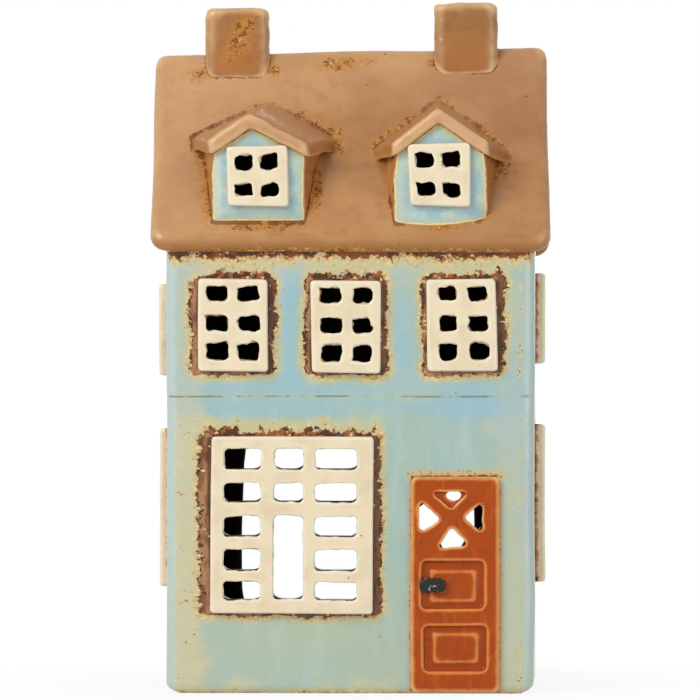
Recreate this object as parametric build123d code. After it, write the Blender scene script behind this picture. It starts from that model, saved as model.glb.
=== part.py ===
from build123d import *
import math
import os

# A glazed, slab-built house that shelters a tealight.
# Millimetres, +Z up. The front looks towards -Y and X runs to the right as seen from the front.
# The origin is the middle of the foot, on the surface that the house stands on.

# Walls and floor
wall_span = 106.0
wall_depth = 76.0
wall_height = 127.7
wall_thickness = 4.5
wall_corner_radius = 3.0
wall_foot_radius = 1.8
floor_thickness = 5.0

# Groove between the storeys, across the front wall
groove_width = 0.9
groove_depth = 0.5
groove_height_share = 0.669
groove_end_shares = (-0.92, 0.95)

# Rear opening that the tealight goes in by
opening_width = 70.0
opening_crown_width = 66.0
opening_height = 73.0
opening_sill = 15.0
opening_sill_radius = 13.0
opening_crown_radius = 24.0
opening_flank_radius = 40.0
opening_edge_radius = 1.4
opening_bulge_share = 0.37

# Roof slabs, which meet at a mitre under a rounded ridge
roof_pitch = 54.0
roof_thickness = 5.0
roof_eave_overhang = 5.0
roof_verge_overhang = 4.15
roof_ridge_radius = 2.5
roof_eave_corner_radius = 5.0
roof_ridge_corner_radius = 7.0
roof_edge_share = 0.6
roof_under_edge_share = 0.16

# Chimneys, which sit astride the ridge
chimney_width = 18.0
chimney_depth = 13.0
chimney_rise = 13.25
chimney_corner_radius = 3.0
chimney_top_radius = 1.8
chimney_seat_clearance = 0.2
chimney_place_shares = (-0.311, 0.317)

# Dormers: the faces stand proud of the front wall, and the cheeks and eaves spread to the back
dormer_face_width = 26.4
dormer_wall = 3.0
dormer_proud = 1.5
dormer_left_apex = 28.1
dormer_right_apex = 29.6
dormer_left_pitch_angle = 28.5
dormer_right_pitch_angle = 37.0
dormer_left_climb_angle = 9.5
dormer_right_climb_angle = 7.4
dormer_cheek_spread_angle = 12.0
dormer_eave_spread_angle = 18.0
dormer_roof_thickness = 4.3
dormer_roof_overhang = 2.3
dormer_roof_lip = 0.8
dormer_edge_radius = 1.0
dormer_place_shares = (-0.245, 0.245)
dormer_light_width = 16.0
dormer_light_run = 10.0

# Window plates
plate_corner_radius = 1.0
plate_edge_radius = 0.8
pane_corner_radius = 1.3
dormer_window_width = 17.5
dormer_window_height = 17.8
dormer_window_proud = 2.2
dormer_window_foot = 5.8
upper_window_width = 20.0
upper_window_height = 26.5
upper_window_proud = 3.0
large_window_width = 46.6
large_window_height = 50.7
large_window_proud = 3.0
side_upper_width = 19.0
side_upper_height = 26.6
side_lower_width = 44.0
side_lower_height = 45.6
side_window_proud = 3.0

# Places of the windows, as shares of the wall's span, depth and height
upper_place_shares = (-0.3155, -0.0104, 0.302)
upper_level_shares = (0.8285, 0.8255, 0.8295)
large_place_share = -0.157
large_level_share = 0.3806
side_upper_place_shares = (-0.1645, 0.1645)
side_upper_level_shares = (0.8215, 0.846)
side_lower_level_shares = (0.418, 0.4275)

# Panes, each as a share of its plate from the left edge or from the foot
dormer_column_shares = ((0.12, 0.42), (0.54, 0.84))
dormer_row_shares = ((0.16, 0.38), (0.61, 0.86))
left_column_shares = ((0.12, 0.43), (0.57, 0.88))
middle_column_shares = ((0.14, 0.44), (0.60, 0.87))
right_column_shares = ((0.18, 0.43), (0.60, 0.88))
upper_row_shares = ((0.12, 0.31), (0.43, 0.60), (0.76, 0.92))
large_outer_shares = ((0.08, 0.31), (0.64, 0.90))
large_middle_share = (0.39, 0.57)
large_row_shares = ((0.075, 0.18), (0.24, 0.36), (0.43, 0.545), (0.625, 0.735), (0.81, 0.93))
large_tall_row_share = (0.08, 0.55)
side_column_shares = ((0.09, 0.31), (0.39, 0.61), (0.69, 0.91))
side_row_shares = ((0.09, 0.24), (0.32, 0.46), (0.54, 0.68), (0.76, 0.91))

# Door plaque, with a pierced lattice over two raised panels
door_width = 25.6
door_height = 62.0
door_proud = 2.0
door_foot = 0.5
door_corner_radius = 1.6
door_edge_radius = 0.7
door_panel_depth = 1.1
door_field_depth = 0.4
door_hole_radius = 0.7
door_place_share = 0.285
door_hole_shares = (
    ((0.22, 0.93), (0.45, 0.85), (0.65, 0.93)),
    ((0.09, 0.89), (0.10, 0.74), (0.33, 0.80)),
    ((0.80, 0.88), (0.59, 0.81), (0.81, 0.74)),
    ((0.30, 0.67), (0.65, 0.68), (0.46, 0.77)),
)
door_panel_shares = (((0.13, 0.82), (0.39, 0.61)), ((0.15, 0.85), (0.10, 0.31)))
door_field_shares = (((0.22, 0.74), (0.42, 0.57)), ((0.25, 0.765), (0.135, 0.28)))

# Door knob, a short lever modelled flat on the plaque
knob_width = 7.6
knob_height = 4.0
knob_proud = 1.8
knob_edge_radius = 1.3
knob_place_shares = (0.253, 0.50)

# Tealight: a pressed cup that holds the wax, and a wick on its foot
cup_diameter = 38.0
cup_height = 15.0
cup_wall = 0.4
cup_rim_lip = 0.5
wax_height = 12.1
wick_diameter = 1.5
wick_height = 18.0
wick_foot_diameter = 12.0
wick_foot_thickness = 0.3
tealight_clearance = 0.1

# How far a cutting tool passes the surface that it cuts
overrun = 20.0

# A rounding takes at most this share of the thinnest side beside it
rounding_share = 0.42

# Where the middle of a plate lies, as a share of its width or height
middle_share = 0.5


def slope_height(reach):
    """Height of the roof's outer face, reach away from the ridge."""
    return roof_apex - reach * roof_slope


half_span = wall_span / 2
half_depth = wall_depth / 2
inner_half_span = half_span - wall_thickness
inner_half_depth = half_depth - wall_thickness
pitch = math.radians(roof_pitch)
roof_slope = math.tan(pitch)
roof_upright_thickness = roof_thickness / math.cos(pitch)
roof_apex = wall_height + half_depth * roof_slope + roof_upright_thickness
roof_half_width = half_span + roof_verge_overhang
eave_reach = half_depth + roof_eave_overhang
ridge_top = roof_apex - roof_ridge_radius / math.cos(pitch) + roof_ridge_radius
chimney_top = ridge_top + chimney_rise
dormer_front = -half_depth - dormer_proud
dormer_foot = slope_height(half_depth + dormer_proud)


def eased(radius, *sides):
    """A rounding radius that the sides next to it leave room for."""
    return min(radius, *(side * rounding_share for side in sides))


def bar(width, height, corner, near, far):
    """A rounded bar along Y, centred on the Y axis, from y = near back to y = far."""
    outline = RectangleRounded(width, height, eased(corner, width, height))
    return extrude(Plane.XZ.offset(-far) * outline, far - near)


def ridge_line(reach, ridge_radius):
    """The roof's outer line across the ridge, as three edges in the YZ plane."""
    centre = roof_apex - ridge_radius / math.cos(pitch)
    side = ridge_radius * math.sin(pitch)
    shoulder = centre + ridge_radius * math.cos(pitch)
    front = Line((0, -reach, slope_height(reach)), (0, -side, shoulder))
    crown = ThreePointArc((0, -side, shoulder), (0, 0, centre + ridge_radius), (0, side, shoulder))
    back = Line((0, side, shoulder), (0, reach, slope_height(reach)))
    return [front, crown, back]


def roof_mass(ridge_radius):
    """Everything below the roof's outer faces, for cutting what sits on the roof."""
    reach = eave_reach + overrun
    half_width = roof_half_width + overrun
    top = ridge_line(reach, ridge_radius)
    sides = Polyline((0, reach, slope_height(reach)), (0, reach, 0), (0, -reach, 0),
                     (0, -reach, slope_height(reach)))
    return extrude(make_face(top + sides.edges()), half_width, both=True)


def room_under_roof():
    """Everything below the roof's inner faces, for trimming the walls."""
    reach = half_depth + overrun
    apex = roof_apex - roof_upright_thickness
    foot = apex - reach * roof_slope
    outline = Polyline((0, -reach, 0), (0, reach, 0), (0, reach, foot), (0, 0, apex),
                       (0, -reach, foot), close=True)
    return extrude(make_face(outline), half_span + overrun, both=True)


def wall_shell():
    """The four walls in one, open below, before they are parted at the corners."""
    plan = RectangleRounded(wall_span, wall_depth, eased(wall_corner_radius, wall_span, wall_depth))
    block = extrude(plan, roof_apex)
    foot = block.faces().sort_by(Axis.Z)[0]
    block = fillet(foot.edges(), eased(wall_foot_radius, wall_thickness))
    cavity = extrude(Rectangle(2 * inner_half_span, 2 * inner_half_depth), roof_apex)
    return (block - cavity) & room_under_roof()


def long_wall(shell, side):
    """The front wall at side -1 or the back wall at side 1, right across the house."""
    slab = Box(wall_span + overrun, wall_thickness + overrun, 2 * roof_apex)
    return shell & Pos(0, side * (inner_half_depth + (wall_thickness + overrun) / 2), 0) * slab


def gable_wall(shell, side, cutters):
    """The gable wall at side -1 or 1, which stands between the long walls, with its windows cut."""
    slab = Box(wall_thickness + overrun, 2 * inner_half_depth, 2 * roof_apex)
    wall = shell & Pos(side * (inner_half_span + (wall_thickness + overrun) / 2), 0, 0) * slab
    return wall - cutters


def floor_slab():
    """The floor, let in between the walls and level with their feet."""
    return extrude(Rectangle(2 * inner_half_span, 2 * inner_half_depth), floor_thickness)


def storey_groove():
    """The scored line between the storeys."""
    left, right = (half_span * share for share in groove_end_shares)
    width = right - left
    height = wall_height * groove_height_share
    cutter = bar(width, groove_width, groove_width, -overrun, groove_depth)
    return Pos((left + right) / 2, -half_depth, height) * cutter


def rear_opening():
    """The opening's outline as a cutter right through the back wall."""
    half_wide = opening_width / 2
    half_crown = opening_crown_width / 2
    bulge = opening_sill + opening_height * opening_bulge_share
    crown = opening_sill + opening_height
    points = ((-half_wide, opening_sill), (half_wide, opening_sill), (half_wide, bulge),
              (half_crown, crown), (-half_crown, crown), (-half_wide, bulge))
    radii = (opening_sill_radius, opening_sill_radius, opening_flank_radius,
             opening_crown_radius, opening_crown_radius, opening_flank_radius)
    outline = FilletPolyline(*points, radius=radii, close=True)
    start = Plane.XZ.offset(-half_depth - overrun)
    return extrude(start * make_face(outline), wall_thickness + 2 * overrun)


def back_wall(shell):
    """The back wall, with its opening softened on both faces."""
    wall = long_wall(shell, 1) - rear_opening()
    radius = eased(opening_edge_radius, wall_thickness)
    for place in (inner_half_depth, half_depth):
        face = wall.faces().filter_by(Axis.Y).sort_by(lambda f: abs(f.center().Y - place))[0]
        wall = fillet(face.inner_wires()[0].edges(), radius)
    return wall


def roof_slab():
    """The front roof slab, mitred at the ridge, before its lights are cut."""
    length = eave_reach / math.cos(pitch)
    slope_plane = Plane(origin=(0, 0, roof_apex), x_dir=(1, 0, 0),
                        z_dir=(0, -math.sin(pitch), math.cos(pitch)))
    points = ((-roof_half_width, -length), (roof_half_width, -length),
              (roof_half_width, 0), (-roof_half_width, 0))
    radii = (roof_eave_corner_radius, roof_eave_corner_radius,
             roof_ridge_corner_radius, roof_ridge_corner_radius)
    outline = make_face(FilletPolyline(*points, radius=radii, close=True))
    slab = extrude(outline, -roof_thickness)
    top = slab.faces().sort_by(Axis.Z)[-1]
    slab = fillet(top.edges(), roof_thickness * roof_edge_share)
    under = slab.faces().sort_by(Axis.Z)[0]
    slab = slope_plane * fillet(under.edges(), roof_thickness * roof_under_edge_share)
    front_half = Box(2 * roof_half_width + overrun, eave_reach + overrun, 2 * roof_apex)
    return slab & Pos(0, -(eave_reach + overrun) / 2, 0) * front_half & roof_mass(roof_ridge_radius)


def chimney(place_share):
    """A solid chimney, notched to sit astride the ridge."""
    foot = slope_height(chimney_depth)
    plan = RectangleRounded(chimney_width, chimney_depth,
                            eased(chimney_corner_radius, chimney_width, chimney_depth))
    stack = extrude(Pos(0, 0, foot) * plan, chimney_top - foot)
    top = stack.faces().sort_by(Axis.Z)[-1]
    stack = fillet(top.edges(), eased(chimney_top_radius, chimney_width, chimney_depth))
    notch = roof_mass(roof_ridge_radius - chimney_seat_clearance)
    return Pos(wall_span * place_share, 0, 0) * (stack - notch)


def dormer_block(half_face, apex, pitch_angle, climb_angle, spread_angle, front, foot):
    """A gabled block that starts at y = front, widens to the back and climbs along its ridge."""
    run = -front
    half_back = half_face + run * math.tan(math.radians(spread_angle))
    climb = run * math.tan(math.radians(climb_angle))
    fall = math.tan(math.radians(pitch_angle))
    points = []
    for reach, half, rise in ((front, half_face, 0), (0, half_back, climb)):
        points.append((0, reach, apex + rise))
        for side in (-1, 1):
            points.append((side * half, reach, apex + rise - half * fall))
            points.append((side * half, reach, foot))
    return ConvexPolyhedron(points)


def dormer_walls(apex, pitch_angle, climb_angle):
    """A dormer's face and cheeks, open above and below."""
    low = dormer_foot - overrun
    spread = math.radians(dormer_cheek_spread_angle)
    half_face = dormer_face_width / 2
    half_room = half_face + dormer_wall * math.tan(spread) - dormer_wall / math.cos(spread)
    block = dormer_block(half_face, apex, pitch_angle, climb_angle,
                         dormer_cheek_spread_angle, dormer_front, low)
    room = dormer_block(half_room, apex + overrun, pitch_angle, climb_angle,
                        dormer_cheek_spread_angle, dormer_front + dormer_wall, low)
    return block - room - roof_mass(roof_ridge_radius)


def dormer_roof(apex, pitch_angle, climb_angle):
    """A dormer's roof, which hangs over the face and runs back into the main roof."""
    low = dormer_foot - overrun
    front = dormer_front - dormer_roof_overhang
    half_width = dormer_face_width / 2 + dormer_roof_lip
    under_apex = apex - dormer_roof_overhang * math.tan(math.radians(climb_angle))
    block = dormer_block(half_width, under_apex + dormer_roof_thickness, pitch_angle, climb_angle,
                         dormer_eave_spread_angle, front, low)
    under = dormer_block(half_width + overrun, under_apex, pitch_angle, climb_angle,
                         dormer_eave_spread_angle, front, low)
    roof = block - under
    upper_edges = roof.edges().group_by(Axis.Y)[0].sort_by(Axis.Z)[-2:]
    roof = fillet(upper_edges, eased(dormer_edge_radius, dormer_roof_thickness))
    return roof - roof_mass(roof_ridge_radius)


def dormer(name, place_share, apex_rise, pitch_angle, climb_angle):
    """A dormer's pieces by name: its walls, its roof and its window plate."""
    apex = dormer_foot + apex_rise
    roof = dormer_roof(apex, pitch_angle, climb_angle)
    plate, holes = window(dormer_window_width, dormer_window_height, dormer_window_proud,
                          grid(dormer_column_shares, dormer_row_shares), dormer_wall)
    seat = Pos(0, dormer_front, dormer_foot + dormer_window_foot + dormer_window_height / 2)
    place = Pos(wall_span * place_share, 0, 0)
    walls = dormer_walls(apex, pitch_angle, climb_angle) - seat * holes
    return {f"dormer_{name}_body": place * walls, f"dormer_{name}_roof": place * roof,
            f"window_dormer_{name}": place * (seat * plate - roof)}


def dormer_light(place_share):
    """The hole in the roof under a dormer, behind the front wall."""
    cutter = Box(dormer_light_width, dormer_light_run, 2 * roof_apex)
    return Pos(wall_span * place_share, dormer_light_run / 2 - inner_half_depth, 0) * cutter


def off_middle(start_share, end_share):
    """How far a span's middle lies from the middle of its plate, as a share."""
    return (start_share + end_share) / 2 - middle_share


def grid(columns, rows):
    """The panes of a plain grid, each with its column share and row share."""
    return [(column, row) for column in columns for row in rows]


def window(width, height, proud, panes, wall):
    """A window plate on a wall face at y = 0, and the cutter that pierces plate and wall."""
    plate = bar(width, height, plate_corner_radius, -proud, 0)
    front = plate.faces().sort_by(Axis.Y)[0]
    plate = fillet(front.edges(), eased(plate_edge_radius, proud))
    holes = []
    for (left, right), (low, high) in panes:
        hole = bar(width * (right - left), height * (high - low), pane_corner_radius,
                   -overrun, wall + overrun)
        place = Pos(width * off_middle(left, right), 0, height * off_middle(low, high))
        holes.append(place * hole)
    return plate - holes, Compound(children=holes)


def on_front(place_share, height):
    """A seat on the front wall's outer face."""
    return Pos(wall_span * place_share, -half_depth, height)


def on_gable(side, place_share, height):
    """A seat on a gable wall's outer face, turned to look outwards."""
    return Pos(side * half_span, wall_depth * place_share, height) * Rot(0, 0, side * 90)


def front_windows():
    """The front wall's window plates by name, and the cutter for the wall behind them."""
    columns = (left_column_shares, middle_column_shares, right_column_shares)
    names = ("window_upper_left", "window_upper_middle", "window_upper_right")
    plates = {}
    cutters = []
    for name, place, level, column in zip(names, upper_place_shares, upper_level_shares, columns):
        plate, holes = window(upper_window_width, upper_window_height, upper_window_proud,
                              grid(column, upper_row_shares), wall_thickness)
        seat = on_front(place, wall_height * level)
        plates[name] = seat * plate
        cutters.append(seat * holes)
    panes = grid(large_outer_shares, large_row_shares)
    panes += grid((large_middle_share,), (large_tall_row_share,) + large_row_shares[3:])
    plate, holes = window(large_window_width, large_window_height, large_window_proud, panes,
                          wall_thickness)
    seat = on_front(large_place_share, wall_height * large_level_share)
    plates["window_large"] = seat * plate
    cutters.append(seat * holes)
    return plates, cutters


def gable_windows(side, side_name, upper_level, lower_level):
    """One gable's window plates by name, and the cutters for the wall behind them."""
    plates = {}
    cutters = []
    for end_name, place in zip(("front", "back"), side_upper_place_shares):
        plate, holes = window(side_upper_width, side_upper_height, side_window_proud,
                              grid(left_column_shares, upper_row_shares), wall_thickness)
        seat = on_gable(side, place, wall_height * upper_level)
        plates[f"window_{side_name}_upper_{end_name}"] = seat * plate
        cutters.append(seat * holes)
    plate, holes = window(side_lower_width, side_lower_height, side_window_proud,
                          grid(side_column_shares, side_row_shares), wall_thickness)
    seat = on_gable(side, 0, wall_height * lower_level)
    plates[f"window_{side_name}_lower"] = seat * plate
    cutters.append(seat * holes)
    return plates, cutters


def door_rectangle(shares, near, far):
    """A rounded bar over a share of the door, from y = near back to y = far."""
    (left, right), (low, high) = shares
    block = bar(door_width * (right - left), door_height * (high - low), pane_corner_radius, near, far)
    return Pos(door_width * off_middle(left, right), 0, door_height * off_middle(low, high)) * block


def door_plaque():
    """The door plaque on a face at y = 0, and the cutter for its lattice holes."""
    plaque = bar(door_width, door_height, door_corner_radius, -door_proud, 0)
    front = plaque.faces().sort_by(Axis.Y)[0]
    plaque = fillet(front.edges(), eased(door_edge_radius, door_proud))
    for panel, field in zip(door_panel_shares, door_field_shares):
        plaque -= door_rectangle(panel, -overrun, door_panel_depth - door_proud)
        plaque += door_rectangle(field, door_field_depth - door_proud, 0)
    holes = []
    for corners in door_hole_shares:
        points = [(door_width * (across - middle_share), door_height * (up - middle_share))
                  for across, up in corners]
        outline = make_face(FilletPolyline(*points, radius=door_hole_radius, close=True))
        start = Plane.XZ.offset(-wall_thickness - overrun)
        holes.append(extrude(start * outline, wall_thickness + 2 * overrun))
    return plaque - holes, Compound(children=holes)


def door_knob(plaque):
    """The knob on a plaque at y = 0, shaped to the panel that it is pressed on to."""
    knob = bar(knob_width, knob_height, knob_height, -door_proud - knob_proud, 0)
    front = knob.faces().sort_by(Axis.Y)[0]
    knob = fillet(front.edges(), eased(knob_edge_radius, knob_proud, knob_height))
    across, up = (share - middle_share for share in knob_place_shares)
    return Pos(door_width * across, 0, door_height * up) * knob - plaque


def upright(diameter, height, foot):
    """A round bar on the Z axis that stands on z = foot."""
    return Pos(0, 0, foot + height / 2) * Cylinder(diameter / 2, height)


def tealight():
    """The tealight's cup, wax, wick and wick foot, standing on the floor."""
    base = floor_thickness
    bore = cup_diameter - 2 * cup_wall
    cup = upright(cup_diameter, cup_height, base)
    cup += upright(cup_diameter + 2 * cup_rim_lip, cup_wall, base + cup_height - cup_wall)
    cup -= upright(bore, cup_height, base + cup_wall)
    inside = base + cup_wall
    wick_foot = upright(wick_foot_diameter, wick_foot_thickness, inside)
    wick_base = inside + wick_foot_thickness
    wick = upright(wick_diameter, wick_height, wick_base)
    wax = upright(bore - 2 * tealight_clearance, wax_height, inside)
    wax -= upright(wick_foot_diameter + 2 * tealight_clearance,
                   wick_foot_thickness + tealight_clearance, inside)
    wax -= upright(wick_diameter + 2 * tealight_clearance, wick_height, wick_base)
    return {"tealight_cup": cup, "tealight_wax": wax, "tealight_wick": wick, "wick_foot": wick_foot}


def house():
    """Every piece of the house by name, the tealight included."""
    shell = wall_shell()
    pieces = {"floor_slab": floor_slab(), "back_wall": back_wall(shell)}

    plates, cutters = front_windows()
    plaque, holes = door_plaque()
    door_seat = on_front(door_place_share, door_foot + door_height / 2)
    cutters += [storey_groove(), door_seat * holes]
    pieces["front_wall"] = long_wall(shell, -1) - cutters
    pieces["door_panel"] = door_seat * plaque
    pieces["door_knob"] = door_seat * door_knob(plaque)
    pieces.update(plates)

    for side, name, upper, lower in zip((-1, 1), ("left", "right"), side_upper_level_shares,
                                        side_lower_level_shares):
        plates, cutters = gable_windows(side, name, upper, lower)
        pieces[f"gable_wall_{name}"] = gable_wall(shell, side, cutters)
        pieces.update(plates)

    front_slab = roof_slab()
    pieces["roof_slab_back"] = mirror(front_slab, about=Plane.XZ)
    sizes = ((dormer_left_apex, dormer_left_pitch_angle, dormer_left_climb_angle),
             (dormer_right_apex, dormer_right_pitch_angle, dormer_right_climb_angle))
    for name, place, size in zip(("left", "right"), dormer_place_shares, sizes):
        pieces.update(dormer(name, place, *size))
        front_slab -= dormer_light(place)
    pieces["roof_slab_front"] = front_slab
    for name, place in zip(("left", "right"), chimney_place_shares):
        pieces[f"chimney_{name}"] = chimney(place)

    pieces.update(tealight())
    return pieces


os.makedirs("parts", exist_ok=True)
for name, piece in house().items():
    export_step(piece, f"parts/{name}.step")
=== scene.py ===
import itertools
import math

import bpy
import numpy as np
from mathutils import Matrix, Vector
from mathutils.bvhtree import BVHTree


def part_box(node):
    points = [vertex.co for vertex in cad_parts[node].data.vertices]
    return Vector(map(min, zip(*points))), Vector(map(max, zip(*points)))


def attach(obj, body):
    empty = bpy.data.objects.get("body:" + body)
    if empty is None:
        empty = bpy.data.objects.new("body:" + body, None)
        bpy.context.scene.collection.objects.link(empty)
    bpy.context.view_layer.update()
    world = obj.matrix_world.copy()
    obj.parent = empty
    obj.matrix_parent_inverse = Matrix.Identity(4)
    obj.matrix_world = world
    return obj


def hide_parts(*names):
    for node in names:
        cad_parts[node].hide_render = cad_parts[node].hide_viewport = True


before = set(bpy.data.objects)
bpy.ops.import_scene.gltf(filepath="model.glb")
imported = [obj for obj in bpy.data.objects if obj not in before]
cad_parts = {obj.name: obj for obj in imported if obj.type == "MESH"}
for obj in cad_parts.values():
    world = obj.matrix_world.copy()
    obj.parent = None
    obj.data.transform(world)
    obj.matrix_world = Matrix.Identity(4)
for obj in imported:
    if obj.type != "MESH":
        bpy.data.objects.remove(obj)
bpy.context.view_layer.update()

MM = 0.001

# Sizes of the house that the pieces' boxes don't give
wall_thickness = 4.5 * MM
roof_pitch = math.radians(54.0)
roof_thickness = 5.0 * MM
groove_share = 0.669

# Sizes read from the frame
wall_low, wall_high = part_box("front_wall")
roof_low, roof_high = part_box("roof_slab_front")
half_span = wall_high.x
half_depth = -wall_low.y
inner_half_span = half_span - wall_thickness
inner_half_depth = half_depth - wall_thickness
under_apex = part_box("gable_wall_right")[1].z
roof_slope = math.tan(roof_pitch)
roof_apex = under_apex + roof_thickness / math.cos(roof_pitch)
wall_top = under_apex - half_depth * roof_slope
ridge_top = roof_high.z
dormer_foot = roof_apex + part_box("dormer_left_body")[0].y * roof_slope

# The photograph's view: distance from the front wall, how far to the right, and height
camera_distance = 1500.0 * MM
camera_right = 48.4 * MM
camera_height = 98.8 * MM
camera_lens = 268.7
camera_sensor = 36.0
camera_near = 10 * MM
camera_far = 20.0

# Soft boxes: place, size and power; and the sky's strength where it lights and where it is seen
lamps = {"key": ((-0.85, -1.05, 0.85), 0.8, 13.5), "fill": ((1.05, -0.95, 0.35), 0.9, 4.6),
         "top": ((0.1, 0.1, 1.3), 0.9, 1.6), "behind": ((0.25, 1.3, 0.6), 1.0, 4.2)}
sky_light = 0.34
sky_seen = 1.0

# The floor glows white, by this share near the house and wholly from there on
floor_reach = 6.0
floor_glow = 0.88
floor_fade_start = 45.0 * MM
floor_fade_end = 150.0 * MM

# Grain of the remeshed clay
wall_grain = 1.0 * MM
floor_grain = 1.2 * MM
roof_grain = 0.75 * MM
small_grain = 0.42 * MM
door_grain = 0.32 * MM
plate_grain = 0.26 * MM
side_plate_grain = 0.36 * MM
knob_grain = 0.14 * MM

# How far hand-built clay strays from its true shape, and over what distance
warp_reach = 0.35 * MM
warp_span = 26.0 * MM
warp_foot = 8.0 * MM
ridge_tilt = 0.018
ridge_lean = -1.0 * MM
roof_spread = 0.007

# The panes: how ragged, how slanted and with what ears they are cut, and how the wall behind them opens
calm_plates = {"window_large": 0.5, "door_panel": 0.5}
pane_depth = 12.0 * MM
jag_reach = 0.45 * MM
jag_span = 2.1 * MM
jag_fine_reach = 0.2 * MM
jag_fine_span = 0.8 * MM
jag_margin = 1.5 * MM
ear_reach = 0.95 * MM
ear_span = 0.75 * MM
ear_rise = 0.35
slant_share = 0.11
plate_skew = 0.45 * MM
plate_sink = 0.6 * MM
hole_growth = 0.8 * MM
rim_shift = 1.15 * MM
hole_margin = 2.2 * MM

# The dormers' faces: their width, how far each foot is raised, bowed and how far aside it is lowest, and
# the swing of the left one's ridge in front and at the back
dormer_face_half = 13.2 * MM
feet = {"dormer_left_body": (0.9 * MM, 0.0, 0.0), "dormer_right_body": (2.4 * MM, 3.2 * MM, -2.5 * MM)}
foot_height = 6.0 * MM
swing_front = -2.0 * MM
swing_back = 2.0 * MM
dormer_spread = math.radians(12.0)

# How far each dormer roof's left and right eaves stand out and up in front, then out and up at the back,
# and how far its ridge climbs the main roof
eave_run = 13.0 * MM
eave_moves = {"dormer_left_roof": ((-1.2, 0.8, 0.9, 3.0), (0.7, -0.8, 1.9, 2.0)),
              "dormer_right_roof": ((-1.3, 1.3, 0.0, 2.4), (-0.5, 1.3, 0.4, 1.0))}
ridge_climb = 1.5 * MM
ridge_rise = {"dormer_left_roof": 0.8 * MM, "dormer_right_roof": 0.0}

# Chimneys, a touch wider than true
chimney_spread = {"chimney_left": 1.055, "chimney_right": 1.035}

# How far a piece is let into the one that carries it, and how far walls and roof slabs lap one another
let_in = 1.2 * MM
wall_lap = 0.8 * MM
ridge_lap = 1.0 * MM

# The roof's foot swells out of the walls, its upper corners are filled out, and the walls' lower corners
# are rounded off
fillet_reach = 1.1 * MM
fillet_span = 3.2 * MM
corner_fill = 1.0 * MM
corner_span = 6.0 * MM
foot_radius = 3.4 * MM

# The uneven surface of thick glaze, as how far it stands up, over what distance and with what seed; its
# patterns run longer from front to back on the dormers
glaze_lumps = ((0.2 * MM, 4.0 * MM, 51), (0.08 * MM, 1.6 * MM, 54))
dormer_run = 3.0

# An edge this sharp counts as fully an edge for the glaze
edge_radius = 2.4 * MM

# The rust around each window: the bare band's width to its left and right, then the share of the band
# above and below it that is broken into crumbs
bands = {
    "window_upper_left": (2.6 * MM, 2.2 * MM, 0.64, 0.86),
    "window_upper_middle": (1.9 * MM, 2.0 * MM, 0.68, 0.90),
    "window_upper_right": (1.3 * MM, 2.5 * MM, 0.68, 0.90),
    "window_large": (3.8 * MM, 2.3 * MM, 0.52, 0.58),
}
gable_band = (2.4 * MM, 2.4 * MM, 0.62, 0.75)
band_above = 1.7 * MM
band_below = 1.2 * MM
fringe_above = 4.0 * MM
band_fringe = 2.1 * MM
corner_share = 1.3

# A share well outside every band, and how near two places count as one
outside = 9.0
slack = 0.01 * MM

# Places on the front slope where the glaze crawled, as middle and half size across and up
crawled = (
    (-1.5, 182.8, 7.0, 1.6), (-44.5, 180.5, 3.0, 2.0), (-22.0, 182.0, 1.4, 1.8), (23.5, 182.5, 1.4, 1.4),
    (-42.5, 155.5, 2.6, 3.6), (-40.6, 145.0, 1.6, 7.0), (-27.5, 133.9, 7.5, 1.1), (-9.2, 146.0, 1.3, 7.5),
    (-15.5, 167.8, 2.4, 1.0), (-10.0, 165.4, 2.6, 1.2), (-4.8, 162.4, 2.6, 1.2), (-3.2, 157.5, 1.4, 2.6),
    (10.8, 160.2, 2.8, 1.6), (14.6, 162.8, 2.6, 1.6), (18.6, 165.6, 2.6, 1.4), (42.0, 152.8, 2.4, 2.2),
    (44.6, 149.4, 2.6, 2.0), (26.5, 133.8, 4.0, 0.8),
)

# The web that closes the top of the door's lattice but for an oval hole
web_middle = (29.7 * MM, 57.2 * MM)
web_hole = (2.2 * MM, 1.55 * MM)
web_reach = (5.2 * MM, 3.4 * MM)
web_thickness = 1.1 * MM
web_points = 36

# The tealight: its cup's lip, sheet, step in the bottom and pleats, the lie of its wax, and its wick's
# levels, strands and frayed tip
cup_lip = 0.5 * MM
cup_wall = 0.4 * MM
cup_step = 0.35 * MM
pleat_share = 0.004
pleat_count = 40
wax_edge = 0.985
wax_creep = 0.5 * MM
wax_sink = 0.7 * MM
wax_swell = 0.9 * MM
wax_rings = 40
wick_levels = 90
wick_tip = 0.07
wick_fray = 0.35
strand_twist = 2.2 * MM

front_plates = ("window_upper_left", "window_upper_middle", "window_upper_right", "window_large")
side_plates = tuple(f"window_{side}_{place}" for side in ("left", "right")
                    for place in ("upper_front", "upper_back", "lower"))
dormer_plates = ("window_dormer_left", "window_dormer_right")


# Plain numbers: steps, and lattice noise that is the same on every run


def eased_step(values, start, end):
    """Rises smoothly from 0 at start to 1 at end."""
    share = np.clip((values - start) / (end - start), 0, 1)
    return share * share * (3 - 2 * share)


def lattice_values(cells, seed):
    """A repeatable scattered value from -1 to 1 for each whole-numbered cell."""
    mixed = cells @ np.array((374761393, 668265263, 1440662683)) + seed * 1274126177
    for shift, mixer in ((13, 1103515245), (16, 2654435761)):
        mixed = mixed & 0xFFFFFFFF
        mixed = (mixed ^ (mixed >> shift)) * mixer
    return ((mixed >> 8) & 0xFFFF) / 32767.5 - 1


def chances(seed, *pairs):
    """One repeatable scattered value for each pair of whole numbers."""
    return lattice_values(np.array([(seed, *pair) for pair in pairs]), seed)


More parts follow.
